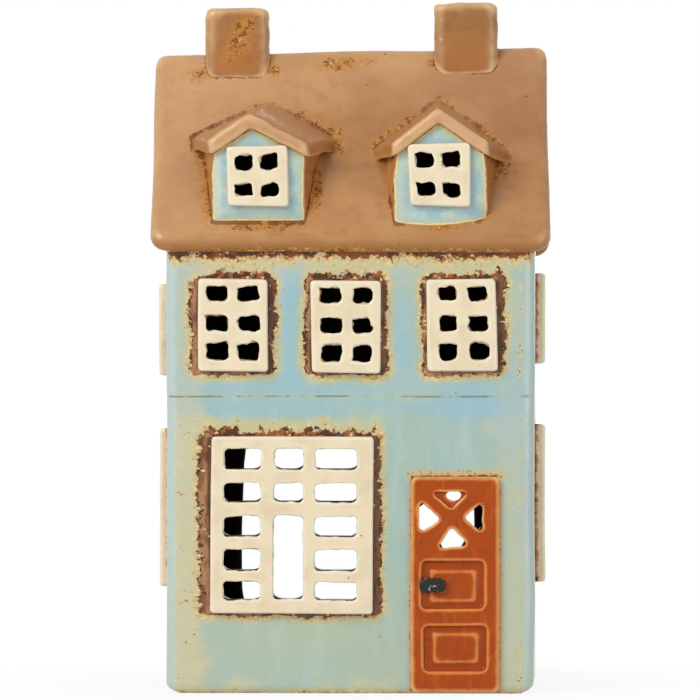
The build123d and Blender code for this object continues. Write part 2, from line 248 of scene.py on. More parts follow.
def swells(points, span, seed):
    """Smooth noise from -1 to 1 whose swells are about span across."""
    scaled = points / span
    cells = np.floor(scaled).astype(np.int64)
    share = eased_step(scaled - cells, 0, 1)
    total = np.zeros(len(points))
    for corner in itertools.product((0, 1), repeat=3):
        weight = np.prod(np.where(np.array(corner) == 1, share, 1 - share), axis=1)
        total += weight * lattice_values(cells + np.array(corner), seed)
    return total


# Meshes


def new_object(name, data):
    """A new object in the scene."""
    thing = bpy.data.objects.new(name, data)
    bpy.context.scene.collection.objects.link(thing)
    return thing


def new_piece(name, points, faces):
    """A new object with a mesh of its own."""
    mesh = bpy.data.meshes.new(name)
    mesh.from_pydata(points, [], faces)
    return new_object(name, mesh)


def item_values(items, name, width=1, kind=float):
    """One value, or a row of width values, from each item of a mesh."""
    values = np.empty(len(items) * width, kind)
    items.foreach_get(name, values)
    return values if width == 1 else values.reshape(-1, width)


def node_part(node):
    """A CAD node's vertices and faces."""
    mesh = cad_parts[node].data
    return item_values(mesh.vertices, "co", 3), [tuple(face.vertices) for face in mesh.polygons]


def set_points(mesh, points):
    """Moves a mesh's vertices to points."""
    mesh.vertices.foreach_set("co", np.asarray(points, np.float32).ravel())
    mesh.update()


def remeshed(name, parts, grain):
    """A new object whose even mesh wraps closed parts, with its points and its edges as pairs of them."""
    faces = []
    start = 0
    for points, part_faces in parts:
        faces += [tuple(corner + start for corner in face) for face in part_faces]
        start += len(points)
    piece = new_piece(name, np.concatenate([points for points, _ in parts]).tolist(), faces)
    source = piece.data
    modifier = piece.modifiers.new("Remesh", "REMESH")
    modifier.mode = "VOXEL"
    modifier.voxel_size = grain
    graph = bpy.context.evaluated_depsgraph_get()
    mesh = piece.data = bpy.data.meshes.new_from_object(piece.evaluated_get(graph))
    piece.modifiers.clear()
    bpy.data.meshes.remove(source)
    mesh.name = name
    return piece, item_values(mesh.vertices, "co", 3), item_values(mesh.edges, "vertices", 2, np.int64)


def neighbour_means(points, pairs):
    """The mean place of each vertex's neighbours."""
    count = len(points)
    total = np.empty_like(points)
    for axis, column in enumerate(points.T):
        total[:, axis] = np.bincount(pairs[:, 0], column[pairs[:, 1]], minlength=count)
        total[:, axis] += np.bincount(pairs[:, 1], column[pairs[:, 0]], minlength=count)
    return total / np.maximum(np.bincount(pairs.ravel(), minlength=count), 1)[:, None]


def relaxed(points, pairs, passes, hold=None):
    """Eases edges by moving vertices towards their neighbours, less where hold is near 1."""
    pull = 0.5 if hold is None else 0.5 * (1 - hold)[:, None]
    for _ in range(passes):
        points = points + (neighbour_means(points, pairs) - points) * pull
    return points


def write_values(piece, **lists):
    """Stores a number for each vertex under each name, for the piece's material to read."""
    for name, values in lists.items():
        attribute = piece.data.attributes.new(name, "FLOAT", "POINT")
        attribute.data.foreach_set("value", np.asarray(values, np.float32))


def warped(points):
    """Strays from the true shape as hand-built slabs do, the same way for every piece."""
    moved = points.copy()
    across, _, up = moved.T
    rise = eased_step(up, wall_top, ridge_top)
    up += ridge_tilt * across * rise
    across *= 1 + roof_spread * eased_step(up, wall_top - let_in, wall_top + let_in)
    across += ridge_lean * rise
    stray = np.stack([swells(moved, warp_span, seed) for seed in (1, 2, 3)], axis=1)
    stray[:, 2] *= eased_step(up, 0, warp_foot)
    return moved + stray * warp_reach


def uneven(points, run):
    """The slightly lumpy surface of thick glaze, its lumps longer from front to back by run."""
    moved = points.copy()
    points = points / (1, run, 1)
    for reach, span, seed in glaze_lumps:
        moved += reach * np.stack([swells(points, span, seed + axis) for axis in range(3)], axis=1)
    return moved


def roof_depth(points):
    """How far points lie below the roof's outer faces."""
    return (roof_apex - np.abs(points[:, 1]) * roof_slope - points[:, 2]) * math.cos(roof_pitch)


def gaps(points, trees, reach):
    """Distance from each point to the nearest of the given shapes, up to reach."""
    found = np.full(len(points), reach)
    for tree, low, high in trees:
        for index in np.flatnonzero(np.all((points > low - reach) & (points < high + reach), axis=1)):
            distance = tree.find_nearest(Vector(points[index]), reach)[3]
            if distance is not None and distance < found[index]:
                found[index] = distance
    return found


def shape_tree(points, faces):
    """A part as a search tree with its lowest and highest corners."""
    tree = BVHTree.FromPolygons([Vector(point) for point in points], faces)
    return tree, points.min(0), points.max(0)


# The panes, read from the back face of a plate, and the glaze around the plates


def plate_axes(node):
    """A plate's across and facing axes, its wall's outward side, and how far out its back and face lie."""
    low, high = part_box(node)
    across, facing, side = (0, 1, -1) if high.x - low.x > high.y - low.y else (1, 0, math.copysign(1, low.x))
    back, face = sorted((low[facing] * side, high[facing] * side))
    return across, facing, side, back, face


def outlines(node):
    """A plate's closed outlines on its back face, the outer one first, as across and up."""
    across, facing, side, back, _ = plate_axes(node)
    points, faces = node_part(node)
    flat = np.abs(points[:, facing] * side - back) < slack
    keys = [tuple(key) for key in np.round(points[:, (across, 2)] / MM, 4)]
    used = {}
    for face in faces:
        if all(flat[corner] for corner in face):
            for start, end in zip(face, face[1:] + face[:1]):
                pair = (keys[start], keys[end])
                used[frozenset(pair)] = None if frozenset(pair) in used else pair
    following = {}
    for pair in filter(None, used.values()):
        following.setdefault(pair[0], []).append(pair[1])
    loops = []
    while following:
        loop = [next(iter(following))]
        while True:
            ends = following[loop[-1]]
            after = ends.pop()
            if not ends:
                del following[loop[-1]]
            if after == loop[0] or after not in following:
                break
            loop.append(after)
        if len(loop) > 2:
            loops.append(np.array(loop) * MM)
    return sorted(loops, key=lambda loop: -np.prod(np.ptp(loop, axis=0)))


def nearest_on_loop(flat_points, loop):
    """Distance from points to a closed outline, and the outline's outward normal there."""
    step = np.roll(loop, -1, axis=0) - loop
    squared = np.maximum((step ** 2).sum(1), 1e-18)
    offset = flat_points[:, None, :] - loop[None, :, :]
    share = np.clip((offset * step).sum(2) / squared, 0, 1)
    distance = np.sqrt(((offset - share[:, :, None] * step) ** 2).sum(2))
    nearest = distance.argmin(1)
    normal = np.stack([step[:, 1], -step[:, 0]], axis=1) / np.sqrt(squared)[:, None]
    area = (loop[:, 0] * np.roll(loop[:, 1], -1) - np.roll(loop[:, 0], -1) * loop[:, 1]).sum()
    return distance[np.arange(len(flat_points)), nearest], normal[nearest] * math.copysign(1, area)


def near_panes(points, node, margin):
    """For each pane of a plate, the points beside it, how near they are up to 1, its normals and outline."""
    across, facing, side, _, face = plate_axes(node)
    outward = points[:, facing] * side
    level = (outward > face - pane_depth) & (outward < face + margin)
    for loop in outlines(node)[1:]:
        flat = points[:, (across, 2)]
        within = np.all((flat > loop.min(0) - margin) & (flat < loop.max(0) + margin), axis=1)
        beside = np.flatnonzero(level & within)
        if len(beside):
            distance, normal = nearest_on_loop(flat[beside], loop)
            yield beside, 1 - eased_step(distance, 0, margin), normal, loop


def grown_holes(points, node):
    """Widens the wall's holes behind a plate, so that the plate's own panes are what shows."""
    moved = points.copy()
    lifted = rim_shift if node == "window_large" else 0.0
    for beside, near, normal, _ in near_panes(moved, node, hole_margin):
        moved[beside, plate_axes(node)[0]] += normal[:, 0] * hole_growth * near
        moved[beside, 2] += (normal[:, 1] * hole_growth + lifted) * near
    return moved


def jagged(points, node, seed):
    """Roughens the panes of a plate as if cut by hand with a knife, with an ear at one corner."""
    flat_axes = (plate_axes(node)[0], 2)
    calm = calm_plates.get(node, 1.0)
    moved = points.copy()
    for number, (beside, near, _, loop) in enumerate(near_panes(points, node, jag_margin)):
        spot = points[beside]
        stray = [swells(spot, jag_span, seed + coarse) * jag_reach
                 + swells(spot, jag_fine_span, seed + fine) * jag_fine_reach
                 for coarse, fine in ((0, 7), (13, 19))]
        low, high = loop.min(0), loop.max(0)
        middle = (low + high) / 2
        slant, place, size = chances(seed, (number, 5), (number, 6), (number, 7))
        sideways, up = spot[:, flat_axes].T
        upper = eased_step(up, middle[1], high[1])
        stray[1] += (sideways - middle[0]) * slant_share * (0.6 + slant) * upper * calm
        corner = high if place > 0.55 else low if place < -0.75 else np.array((low[0], high[1]))
        away = np.hypot(sideways - corner[0], up - corner[1])
        ear = np.exp(-(away / ear_span) ** 2) * ear_reach * (0.7 + 0.5 * size) * (calm == 1)
        out = np.sign(corner - middle) * (1, ear_rise)
        for axis, shift, part in zip(flat_axes, stray, out):
            moved[beside, axis] += shift * near * calm + ear * part
    return moved


def skewed(points, node, seed):
    """Sets a plate a little out of true."""
    across = plate_axes(node)[0]
    low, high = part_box(node)
    middle, size = (low + high) / 2, high - low
    right = (points[:, across] - middle[across]) / size[across]
    up = (points[:, 2] - middle.z) / size.z
    chance = chances(seed, (1, 2), (3, 4), (5, 6), (7, 8))
    moved = points.copy()
    moved[:, across] += plate_skew * (chance[0] * up + chance[1] * up * right * 2)
    moved[:, 2] += plate_skew * (chance[2] * right + chance[3] * up * right * 2)
    return moved


def pane_hold(points, nodes):
    """Near 1 close to a pane, where easing would close the hole."""
    hold = np.zeros(len(points))
    for node in nodes:
        for beside, near, _, _ in near_panes(points, node, hole_margin):
            hold[beside] = np.maximum(hold[beside], near)
    return hold


def band_share(points, nodes):
    """Where points lie in the plates' rust bands, 1 where one ends; how they lie to the plate, 0 above it,
    a half below it and 1 beside it; and 1 to its right, where the band is painted darker as the plate's
    shadow."""
    share = np.full(len(points), outside)
    beside, shaded = np.zeros((2, len(points)))
    up = points[:, 2]
    for node in nodes:
        across, facing, side, back, _ = plate_axes(node)
        low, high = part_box(node)
        sideways = points[:, across]
        beyond_across = np.maximum(np.maximum(low[across] - sideways, sideways - high[across]), 0)
        beyond_up = np.maximum(np.maximum(low.z - up, up - high.z), 0)
        left, right, above_start, below_start = bands.get(node, gable_band)
        over = up > high.z
        start = np.where(over, above_start, below_start)
        tall = np.where(over, band_above, band_below)
        upright = start * eased_step(beyond_up, 0, 0.5 * MM) + (1 - start) * beyond_up / tall
        width = np.where(sideways < low[across], left, right)
        rest_across = np.maximum(beyond_across - width, 0) / band_fringe
        rest_up = np.maximum(beyond_up - tall, 0) / np.where(over, fringe_above, band_fringe)
        flat, steep = np.minimum(beyond_across / width, 1), np.minimum(upright, 1)
        slanting = np.hypot(flat, steep)
        part = np.minimum(slanting, 1) + np.hypot(rest_across, rest_up)
        part += (slanting - np.maximum(flat, steep)) * corner_share
        part[points[:, facing] * side < back - 3 * MM] = outside
        nearer = part < share
        share = np.minimum(share, part)
        lie = beyond_across / np.maximum(beyond_across + beyond_up, slack)
        beside = np.where(nearer, np.where(up < low.z, np.maximum(lie, 0.5), lie), beside)
        shaded = np.where(nearer, eased_step(sideways, high[across] - 0.5 * MM, high[across]), shaded)
    return share, beside, shaded


def covered_share(points, nodes):
    """1 on the walls behind plates, where only the rims of their holes are seen; these are painted dark as
    the shade inside the holes.
    """
    share = np.zeros(len(points))
    for node in nodes:
        across, facing, side, back, _ = plate_axes(node)
        low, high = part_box(node)
        within = np.minimum(points[:, across] - low[across], high[across] - points[:, across])
        within = np.minimum(within, np.minimum(points[:, 2] - low.z, high.z - points[:, 2]))
        near = points[:, facing] * side > back - 8 * MM
        share = np.maximum(share, eased_step(within, 0.6 * MM, 1.2 * MM) * near)
    return share


# Shader nodes


def feed(socket, value):
    """Links a socket to a pattern, or sets it to a plain value."""
    if isinstance(value, Pattern):
        socket.id_data.links.new(value.socket, socket)
    else:
        socket.default_value = value


def shader_node(tree, kind, inputs, **settings):
    """A new shader node with its settings made and its inputs fed."""
    node = tree.nodes.new(f"ShaderNode{kind}")
    for name, value in settings.items():
        setattr(node, name, value)
    for name, value in dict(inputs).items():
        feed(node.inputs[name], value)
    return node


class Pattern:
    """A value in a material, which sums and steps carry on from."""

    def __init__(self, socket):
        self.socket = socket

    def maths(self, operation, *values):
        """A sum of values, of which this one gives the material."""
        node = shader_node(self.socket.id_data, "Math", enumerate(values), operation=operation)
        return Pattern(node.outputs[0])

    def __add__(self, other):
        return self.maths("ADD", self, other)

    def __mul__(self, other):
        return self.maths("MULTIPLY", self, other)

    def __sub__(self, other):
        return self.maths("SUBTRACT", self, other)

    def __rsub__(self, other):
        return self.maths("SUBTRACT", other, self)

    def __abs__(self):
        return self.maths("ABSOLUTE", self)

    def most(self, other):
        return self.maths("MAXIMUM", self, other)

    def step(self, start, end, high=1.0, low=0.0):
        """Goes smoothly from low where this value is start to high where it is end."""
        inputs = {"Value": self, "From Min": start, "From Max": end, "To Min": low, "To Max": high}
        node = shader_node(self.socket.id_data, "MapRange", inputs, interpolation_type="SMOOTHSTEP")
        return Pattern(node.outputs["Result"])


class Finish:
    """One material, built up from patterns in the piece's own coordinates."""

    def __init__(self, name, run=1.0):
        self.run = run
        self.material = bpy.data.materials.new(name)
        self.material.use_nodes = True
        self.place = self.pattern("Object", "TexCoord")
        self.used = 0
        self.colour = None
        self.normal = None

    def pattern(self, output, kind, inputs=(), **settings):
        """One output of a new node."""
        return Pattern(shader_node(self.material.node_tree, kind, inputs, **settings).outputs[output])

    def spot(self, span, stretch):
        """The piece's coordinates, scaled so that one unit is span, and shifted for each use."""
        self.used += 1
        shift = 3.7 * self.used
        across, along, up = stretch
        scale = (1 / (span * across), 1 / (span * along * self.run), 1 / (span * up))
        shifts = (shift, shift * 0.61, shift * 1.37)
        return self.pattern("Vector", "Mapping", {"Vector": self.place, "Location": shifts, "Scale": scale})

    def noise(self, span, detail=3.0, roughness=0.55, stretch=(1, 1, 1)):
        """Cloudy noise from 0 to 1 with features about span across."""
        return self.pattern("Fac", "TexNoise", {"Vector": self.spot(span, stretch), "Scale": 1.0,
                                                "Detail": detail, "Roughness": roughness})

    def wander(self, span, **settings):
        """Cloudy noise to both sides of 0."""
        return self.noise(span, **settings) - 0.5

    def cells(self, span, stretch=(1, 1, 1), wobble=0.0):
        """Scattered cells about span apart: the distance from a cell's centre, and two numbers of its own."""
        place = self.spot(span, stretch)
        if wobble:
            bend = self.pattern("Color", "TexNoise", {"Vector": place, "Scale": 1.7, "Detail": 2.0})
            place = self.pattern("Vector", "VectorMath", {0: bend, 1: (wobble, wobble, wobble), 2: place},
                                 operation="MULTIPLY_ADD")
        cell = shader_node(self.material.node_tree, "TexVoronoi", {"Vector": place, "Scale": 1.0})
        split = shader_node(self.material.node_tree, "SeparateColor", {0: Pattern(cell.outputs["Color"])})
        return [Pattern(socket) for socket in (cell.outputs["Distance"], split.outputs[0], split.outputs[1])]

    def mix(self, share, first, second):
        """first where share is 0 and second where it is 1, as colours."""
        return self.pattern(2, "Mix", {0: share, 6: first, 7: second}, data_type="RGBA")

    def layered(self, base, *layers):
        """A base colour with tints laid over it, each by its own share."""
        for tint, share in layers:
            base = self.mix(share, base, tint)
        return base

    def lay(self, *layers):
        """Lays tints over the colour so far, each by its own share."""
        self.colour = self.layered(self.colour, *layers)

    def speckle(self, span, share, dot):
        """Small scattered dots in one colour; share is about how many of the cells hold one."""
        distance, first, second = self.cells(span)
        size = second.step(0, 1, 0.13, 0.05)
        ragged = distance + self.wander(span * 0.12, detail=2.0) * 0.12
        self.lay((dot, first.step(share, share - 0.02) * ragged.step(size + 0.03, size)))

    def stored(self, name):
        """A number stored on the mesh."""
        return self.pattern("Fac", "Attribute", attribute_name=name)

    def axis(self, name):
        """The piece's own X, Y or Z."""
        return self.pattern(name, "SeparateXYZ", {0: self.place})

    def relief(self, height, reach):
        """Adds bumps where height from 0 to 1 stands reach proud."""
        inputs = {"Strength": 1.0, "Distance": reach, "Height": height}
        if self.normal:
            inputs["Normal"] = self.normal
        self.normal = self.pattern("Normal", "Bump", inputs)

    def done(self, roughness, **constants):
        """Connects the surface and returns the material."""
        inputs = {name.replace("_", " "): value for name, value in constants.items()}
        inputs.update({"Base Color": self.colour, "Roughness": roughness, "Normal": self.normal})
        for name, value in inputs.items():
            feed(self.material.node_tree.nodes["Principled BSDF"].inputs[name], value)
        return self.material

    def glazed(self, roughness, shine=0.36):
        """Closes a glossy glaze."""
        return self.done(roughness, Specular_IOR_Level=shine)


# Colours, given as seen


def srgb(red, green, blue):
    """A colour given as seen, from 0 to 255, as the linear values that a shader takes."""
    shares = [value / 255 for value in (red, green, blue)]
    linear = [share / 12.92 if share <= 0.04045 else ((share + 0.055) / 1.055) ** 2.4 for share in shares]
    return (*linear, 1.0)


white = (1, 1, 1, 1)
duck_egg = srgb(166, 190, 178)
sky_blue = srgb(150, 190, 204)
pale_blue = srgb(186, 206, 206)
corner_highlight_blue = srgb(186, 206, 202)
pale_green = srgb(190, 196, 158)
mist = srgb(208, 212, 194)
olive_cream = srgb(212, 198, 144)
green_cream = srgb(208, 200, 162)
stroke_cream = srgb(224, 206, 150)
crest_cream = srgb(222, 200, 146)
door_cream = srgb(216, 186, 118)
groove_green = srgb(104, 104, 74)
crumb_cream = srgb(238, 214, 152)
crumb_ochre = srgb(206, 148, 74)
rust = srgb(148, 76, 28)
bark = srgb(179, 131, 94)
dark_bark = srgb(80, 44, 22)
caramel = srgb(174, 121, 68)
deep_caramel = srgb(150, 99, 49)
tan = srgb(192, 140, 87)
pale_tan = srgb(224, 182, 134)
amber_brown = srgb(164, 98, 38)
roof_brown = srgb(122, 66, 18)
orange_rust = srgb(160, 88, 36)
amber = srgb(186, 112, 40)
caramel_amber = srgb(166, 112, 58)
gold = srgb(196, 128, 46)
pale_gold = srgb(224, 172, 96)
brown_glaze = srgb(138, 84, 42)
face_green = srgb(182, 200, 186)
face_blue = srgb(158, 192, 200)
face_pale = srgb(206, 216, 196)
face_bright = srgb(222, 231, 228)
cream = srgb(238, 222, 190)
cream_shade = srgb(222, 202, 164)
cream_highlight = srgb(246, 236, 214)
terracotta = srgb(174, 72, 3)
terracotta_pale = srgb(226, 140, 70)
terracotta_deep = srgb(142, 54, 6)
terracotta_dull = srgb(166, 68, 3)
terracotta_warm = srgb(196, 100, 30)
knob_black = srgb(20, 24, 20)
knob_pale = srgb(170, 168, 148)
# Near-black and dark brown for the inside of the house: painted shade
painted_shade_black = srgb(16, 11, 7)
painted_shade_brown = srgb(38, 25, 16)
painted_shade_patch = srgb(50, 34, 20)
aluminium = srgb(218, 220, 222)
tinned = srgb(190, 190, 192)
wick_white = srgb(238, 232, 216)
wax_white = srgb(246, 243, 234)
wax_shade = srgb(236, 231, 218)


# The camera, light and floor


def look_at(thing, place, target):
    """Places a camera or lamp so that it faces a point."""
    thing.location = place
    thing.rotation_euler = (Vector(target) - thing.location).to_track_quat("-Z", "Y").to_euler()


def make_camera():
    """The photograph's camera: far off, level and a little to the right."""
    camera = bpy.data.cameras.new("camera")
    camera.lens = camera_lens
    camera.sensor_width = camera_sensor
    camera.clip_start = camera_near
    camera.clip_end = camera_far
    holder = new_object("camera", camera)
    place = (camera_right, -half_depth - camera_distance, camera_height)
    look_at(holder, place, (0, -half_depth, camera_height))
    bpy.context.scene.camera = holder


def open_rays(tree):
    """1 for rays that see the surroundings directly, in a mirror or through glass."""
    path = shader_node(tree, "LightPath", ())
    names = ("Is Camera Ray", "Is Glossy Ray", "Is Transmission Ray")
    camera, glossy, through = (Pattern(path.outputs[name]) for name in names)
    return camera.most(glossy).most(through)


def light_studio():
    """Square soft boxes that face the middle of the house, and an even sky."""
    for name, (place, size, watts) in lamps.items():
        light = bpy.data.lights.new(name, "AREA")
        light.shape = "SQUARE"
        light.size = size
        light.energy = watts
        look_at(new_object(name, light), place, (0, 0, camera_height))
    world = bpy.data.worlds.new("studio")
    bpy.context.scene.world = world
    world.use_nodes = True
    tree = world.node_tree
    level = shader_node(tree, "MapRange", {"Value": open_rays(tree), "To Min": sky_light, "To Max": sky_seen})
    background = tree.nodes["Background"]
    feed(background.inputs["Color"], white)
    feed(background.inputs["Strength"], Pattern(level.outputs["Result"]))


def make_floor():
    """A wide pale floor that reads white and keeps the shadow of the house."""
    signs = ((-1, -1), (1, -1), (1, 1), (-1, 1))
    corners = [(across * floor_reach, deep * floor_reach, 0) for across, deep in signs]
    floor = new_piece("studio_floor", corners, [(0, 1, 2, 3)])
    material = bpy.data.materials.new("studio_floor")
    material.use_nodes = True
    tree = material.node_tree
    matte = tree.nodes["Principled BSDF"]
    for name, value in (("Base Color", (0.85, 0.85, 0.84, 1)), ("Roughness", 0.9),
                        ("Specular IOR Level", 0.1)):
        matte.inputs[name].default_value = value
    glow = shader_node(tree, "Emission", {"Color": white})
    place = shader_node(tree, "TexCoord", ())
    length = shader_node(tree, "VectorMath", {0: Pattern(place.outputs["Object"])}, operation="LENGTH")
    fade = Pattern(length.outputs["Value"]).step(floor_fade_start, floor_fade_end, 1.0, floor_glow)
    blend = shader_node(tree, "MixShader", {0: open_rays(tree) * fade, 1: Pattern(matte.outputs[0]),
                                            2: Pattern(glow.outputs[0])})
    tree.links.new(blend.outputs[0], tree.nodes["Material Output"].inputs["Surface"])
    floor.data.materials.append(material)


# Materials


def crumbled(finish, share, halo, halo_depth, crumbs, cores, lie=None):
    """Broken rust where share is under 1: a bare core, a fringe of pale crumbs and a pale halo. The core is
    darkest where share is near 0, as dark glaze with a painted contact shadow, and is painted darker in a
    plate's shadow to its right. Says where the core and the crumbs are."""
    coarse = finish.wander(5.0 * MM, detail=1.0)
    middling = finish.wander(1.6 * MM, roughness=0.6)
    edge = share + (coarse * 1.35 + middling * 1.4)
    finish.lay((halo, (share + coarse * 1.3).step(2.15, 1.15, halo_depth)))
    crumb = finish.cells(1.1 * MM, wobble=0.7)
    above = 0.0
    paler = edge
    if lie:
        level = finish.cells(1.1 * MM, (1.7, 1.7, 0.8), wobble=0.7)
        sideways = lie.step(0.6, 0.7)
        crumb = [upright * (1 - sideways) + flat * sideways for upright, flat in zip(crumb, level)]
        above = lie.step(0.4, 0.1)
        paler = edge + above * -0.3 + lie.step(0.4, 0.5) * lie.step(0.7, 0.6) * 0.3
    distance, first, second = crumb
    pale = (paler.step(0.55, 1.4, 0.9, 0.10) - first).step(-0.03, 0.03)
    light = finish.mix(second.step(0.58, 0.72), *crumbs)
    heavy = finish.mix(second.step(0.34, 0.46), cores[2], cores[1])
    seam = distance.step(0.45, 0.65) * edge.step(1.35, 1.0, 0.6, 0.1)
    reach = second.step(0.0, 1.0, 0.6, 0.05) * pale + 1.1
    present = (reach - edge).step(0.0, 0.05)
    finish.lay((finish.layered(heavy, (light, pale), (cores[2], seam * pale)), present))
    core = (edge + above * 0.28).step(0.80, 0.72)
    patch = finish.noise(7.0 * MM, stretch=(0.8, 0.8, 1.8))
    streak = finish.noise(1.2 * MM, roughness=0.65, stretch=(0.8, 0.8, 2.4))
    # Right against a plate, the eave or the foot the core turns dark bark: dark glaze, and a painted contact
    # shadow
    bare = finish.layered(cores[0], (cores[1], patch.step(0.48, 0.62, 0.85)),
                          (dark_bark, share.step(0.30, 0.06, 0.85)), (cores[2], streak.step(0.56, 0.64, 0.6)),
                          (dark_bark, streak.step(0.44, 0.36, 0.7)))
    # Painted shadow: the core is darkened to the right of a plate, where its shadow falls
    if lie:
        bare = finish.mix(finish.stored("shaded") * 0.65, bare, dark_bark)
    lone = first.step(0.10, 0.07) * distance.step(0.45, 0.35)
    finish.lay((finish.mix(lone, bare, light), core))
    domes = distance.step(0.6, 0.1) * (pale * present)
    return core, (domes * (1 - core)).most(lone * core)


def cracked(finish, share, wash, pale, dark):
    """Crawled glaze where share is under 1: an amber smear with pale flakes and short dark cracks. Says
    where the cracks and the flakes are."""
    coarse = finish.wander(4.0 * MM, detail=2.0)
    edge = share + (coarse * 1.1 + finish.wander(1.1 * MM, roughness=0.65))
    tint = finish.noise(1.7 * MM, detail=4.0, roughness=0.7)
    flake = edge.step(1.35, 0.95) * tint.step(0.53, 0.60)
    ridges = finish.wander(2.1 * MM, detail=4.0, roughness=0.7, stretch=(1.3, 1, 1))
    ends = finish.noise(1.9 * MM, detail=2.0).step(0.46, 0.54)
    crack = abs(ridges).step(0.045, 0.018) * ends * edge.step(1.2, 0.9)
    deep = edge.step(0.56, 0.40) * tint.step(0.48, 0.40)
    finish.lay((wash, edge.step(1.6, 0.7, 0.9)), (pale, flake * 0.8), (dark, crack * 0.85), (dark, deep))
    return crack.most(deep), flake


def wall_field(finish, groove, back):
    """The walls' pale blue, brighter in the open field and under the groove, with green drifts."""
    clouds = finish.noise(26 * MM, stretch=(1, 1, 1.4))
    lowest = groove.step(-30, -70)
    finish.colour = duck_egg
    finish.lay((sky_blue, clouds.step(0.46, 0.70) * lowest.step(0, 1, 0.35, 0.8)),
               (pale_green, lowest * 0.35))
    drips = finish.noise(6 * MM, stretch=(0.8, 0.8, 4))
    level = groove + (clouds - 0.5) * 90 * back
    open_field = finish.stored("band").step(1.6, 2.9) * level.step(-1, 3)
    open_field *= finish.axis("X").step(32 * MM, 46 * MM, 0.3, 1.0)
    under = groove.step(-7, -3) * groove.step(0, -2)
    drift = finish.noise(34 * MM, stretch=(1.6, 1.6, 1))
    finish.lay((pale_blue, drips.step(0.45, 0.7, 0.35)), (sky_blue, open_field * 0.75),
               (sky_blue, under * 0.6),
               (pale_green, drift.step(0.50, 0.72, 0.7)))


def wall_edges(finish, groove, back):
    """The cream, flecked glaze that thins along the walls' upright edges, with a painted pale blue
    highlight along the corners. Says where its strokes are.
    """
    rim = finish.stored("rim_gap")
    wander = finish.wander(7 * MM, detail=4.0) * (9 * MM)
    inward = rim + finish.wander(12 * MM, detail=4.0, stretch=(1, 1, 0.7)) * (26 * MM)
    creamy = inward.step(15 * MM, 8 * MM) * (finish.axis("X").step(40 * MM, -40 * MM, 1.0, 0.4)
                                             * groove.step(0, -10, 1.0, 0.45))
    strokes = finish.noise(1.3 * MM, stretch=(2.4, 2.4, 0.7))
    upright = finish.noise(1.4 * MM, detail=2.0, stretch=(0.8, 0.8, 5))
    stroke = strokes.step(0.56, 0.66).most(upright.step(0.60, 0.70)) * creamy
    marks = finish.noise(1.5 * MM, stretch=(2.2, 2.2, 0.8))
    fleck = marks.step(0.66, 0.70) * creamy.step(0.4, 0.8)
    # corner_highlight_blue: a painted highlight along the walls' rounded corners and outer edges
    finish.lay((green_cream, creamy * 0.85), (stroke_cream, stroke * 0.45),
               (finish.mix(strokes.step(0.5, 0.55), crumb_ochre, rust), fleck * 0.8),
               (corner_highlight_blue, (rim + wander * 0.2).step(3.6 * MM, 2.2 * MM) * 0.8))
    line = rim + wander * 0.25
    crest = line.step(3.2 * MM, 3.8 * MM) * line.step(5.4 * MM, 4.4 * MM)
    crest *= finish.noise(9 * MM, detail=2.0).step(0.5, 0.6)
    crest *= finish.noise(1.2 * MM).step(0.44, 0.54)
    crest *= finish.axis("X").step(-10 * MM, 10 * MM, 1.0, 0.25)
    spots = crest * finish.noise(1.0 * MM).step(0.58, 0.62)
    worn = (finish.stored("edge") + finish.wander(2 * MM) * 1.2) * back
    finish.lay((crest_cream, crest * 0.7), (rust, spots), (olive_cream, worn.step(0.3, 0.7, 0.8)),
               (bark, worn.step(0.9, 1.2, 0.8)))
    return stroke


def wall_glaze():
    """Pale blue glaze that thins to green and cream at edges, and breaks to rust at the windows."""
    finish = Finish("wall_glaze")
    groove = finish.stored("groove")
    back = 1 - finish.stored("front")
    wall_field(finish, groove, back)
    stroke = wall_edges(finish, groove, back)
    fine = finish.noise(2.2 * MM, detail=4.0, roughness=0.6)
    finish.lay((mist, fine.step(0.5, 0.8, 0.25)))
    finish.speckle(2.6 * MM, 0.02, dark_bark)
    finish.speckle(3.1 * MM, 0.03, crumb_ochre)
    creams = (crumb_cream, olive_cream)
    crumbled(finish, finish.stored("foot"), olive_cream, 0.8, creams, (olive_cream, bark, bark))
    core, grains = crumbled(finish, finish.stored("band"), olive_cream, 0.75, creams,
                            (bark, dark_bark, orange_rust), finish.stored("beside"))
    eave_core, eave_grains = crumbled(finish, finish.stored("eave"), olive_cream, 0.9, creams,
                                      (dark_bark, rust, orange_rust))
    door = finish.stored("door_gap") + (fine - 0.5) * (1.6 * MM)
    chips = finish.noise(0.9 * MM, detail=2.0).step(0.58, 0.64)
    broken = finish.noise(7 * MM).step(0.44, 0.58)
    line = abs(groove).step(0.3, 0.06) * broken * finish.stored("front")
    # Behind the plates the walls are painted dark: the shade seen in the rims of the pane holes
    finish.lay((door_cream, door.step(1.7 * MM, 0.9 * MM, 0.85)),
               (bark, door.step(1.3 * MM, 1.0 * MM) * chips),
               (dark_bark, door.step(0.35 * MM, 0.1 * MM, 0.8)), (groove_green, line * 0.6),
               (dark_bark, finish.stored("covered")))
    bare = core.most(eave_core)
    height = (1 - bare) * 0.6 + grains.most(eave_grains) * 0.6 + finish.noise(1.6 * MM) * 0.1
    finish.relief(height + line * -0.5 + stroke * 0.12, 0.4 * MM)
    finish.relief(finish.noise(14 * MM, detail=2.0), 0.6 * MM)
    return finish.glazed(bare.step(0, 1, 0.3, 0.16))


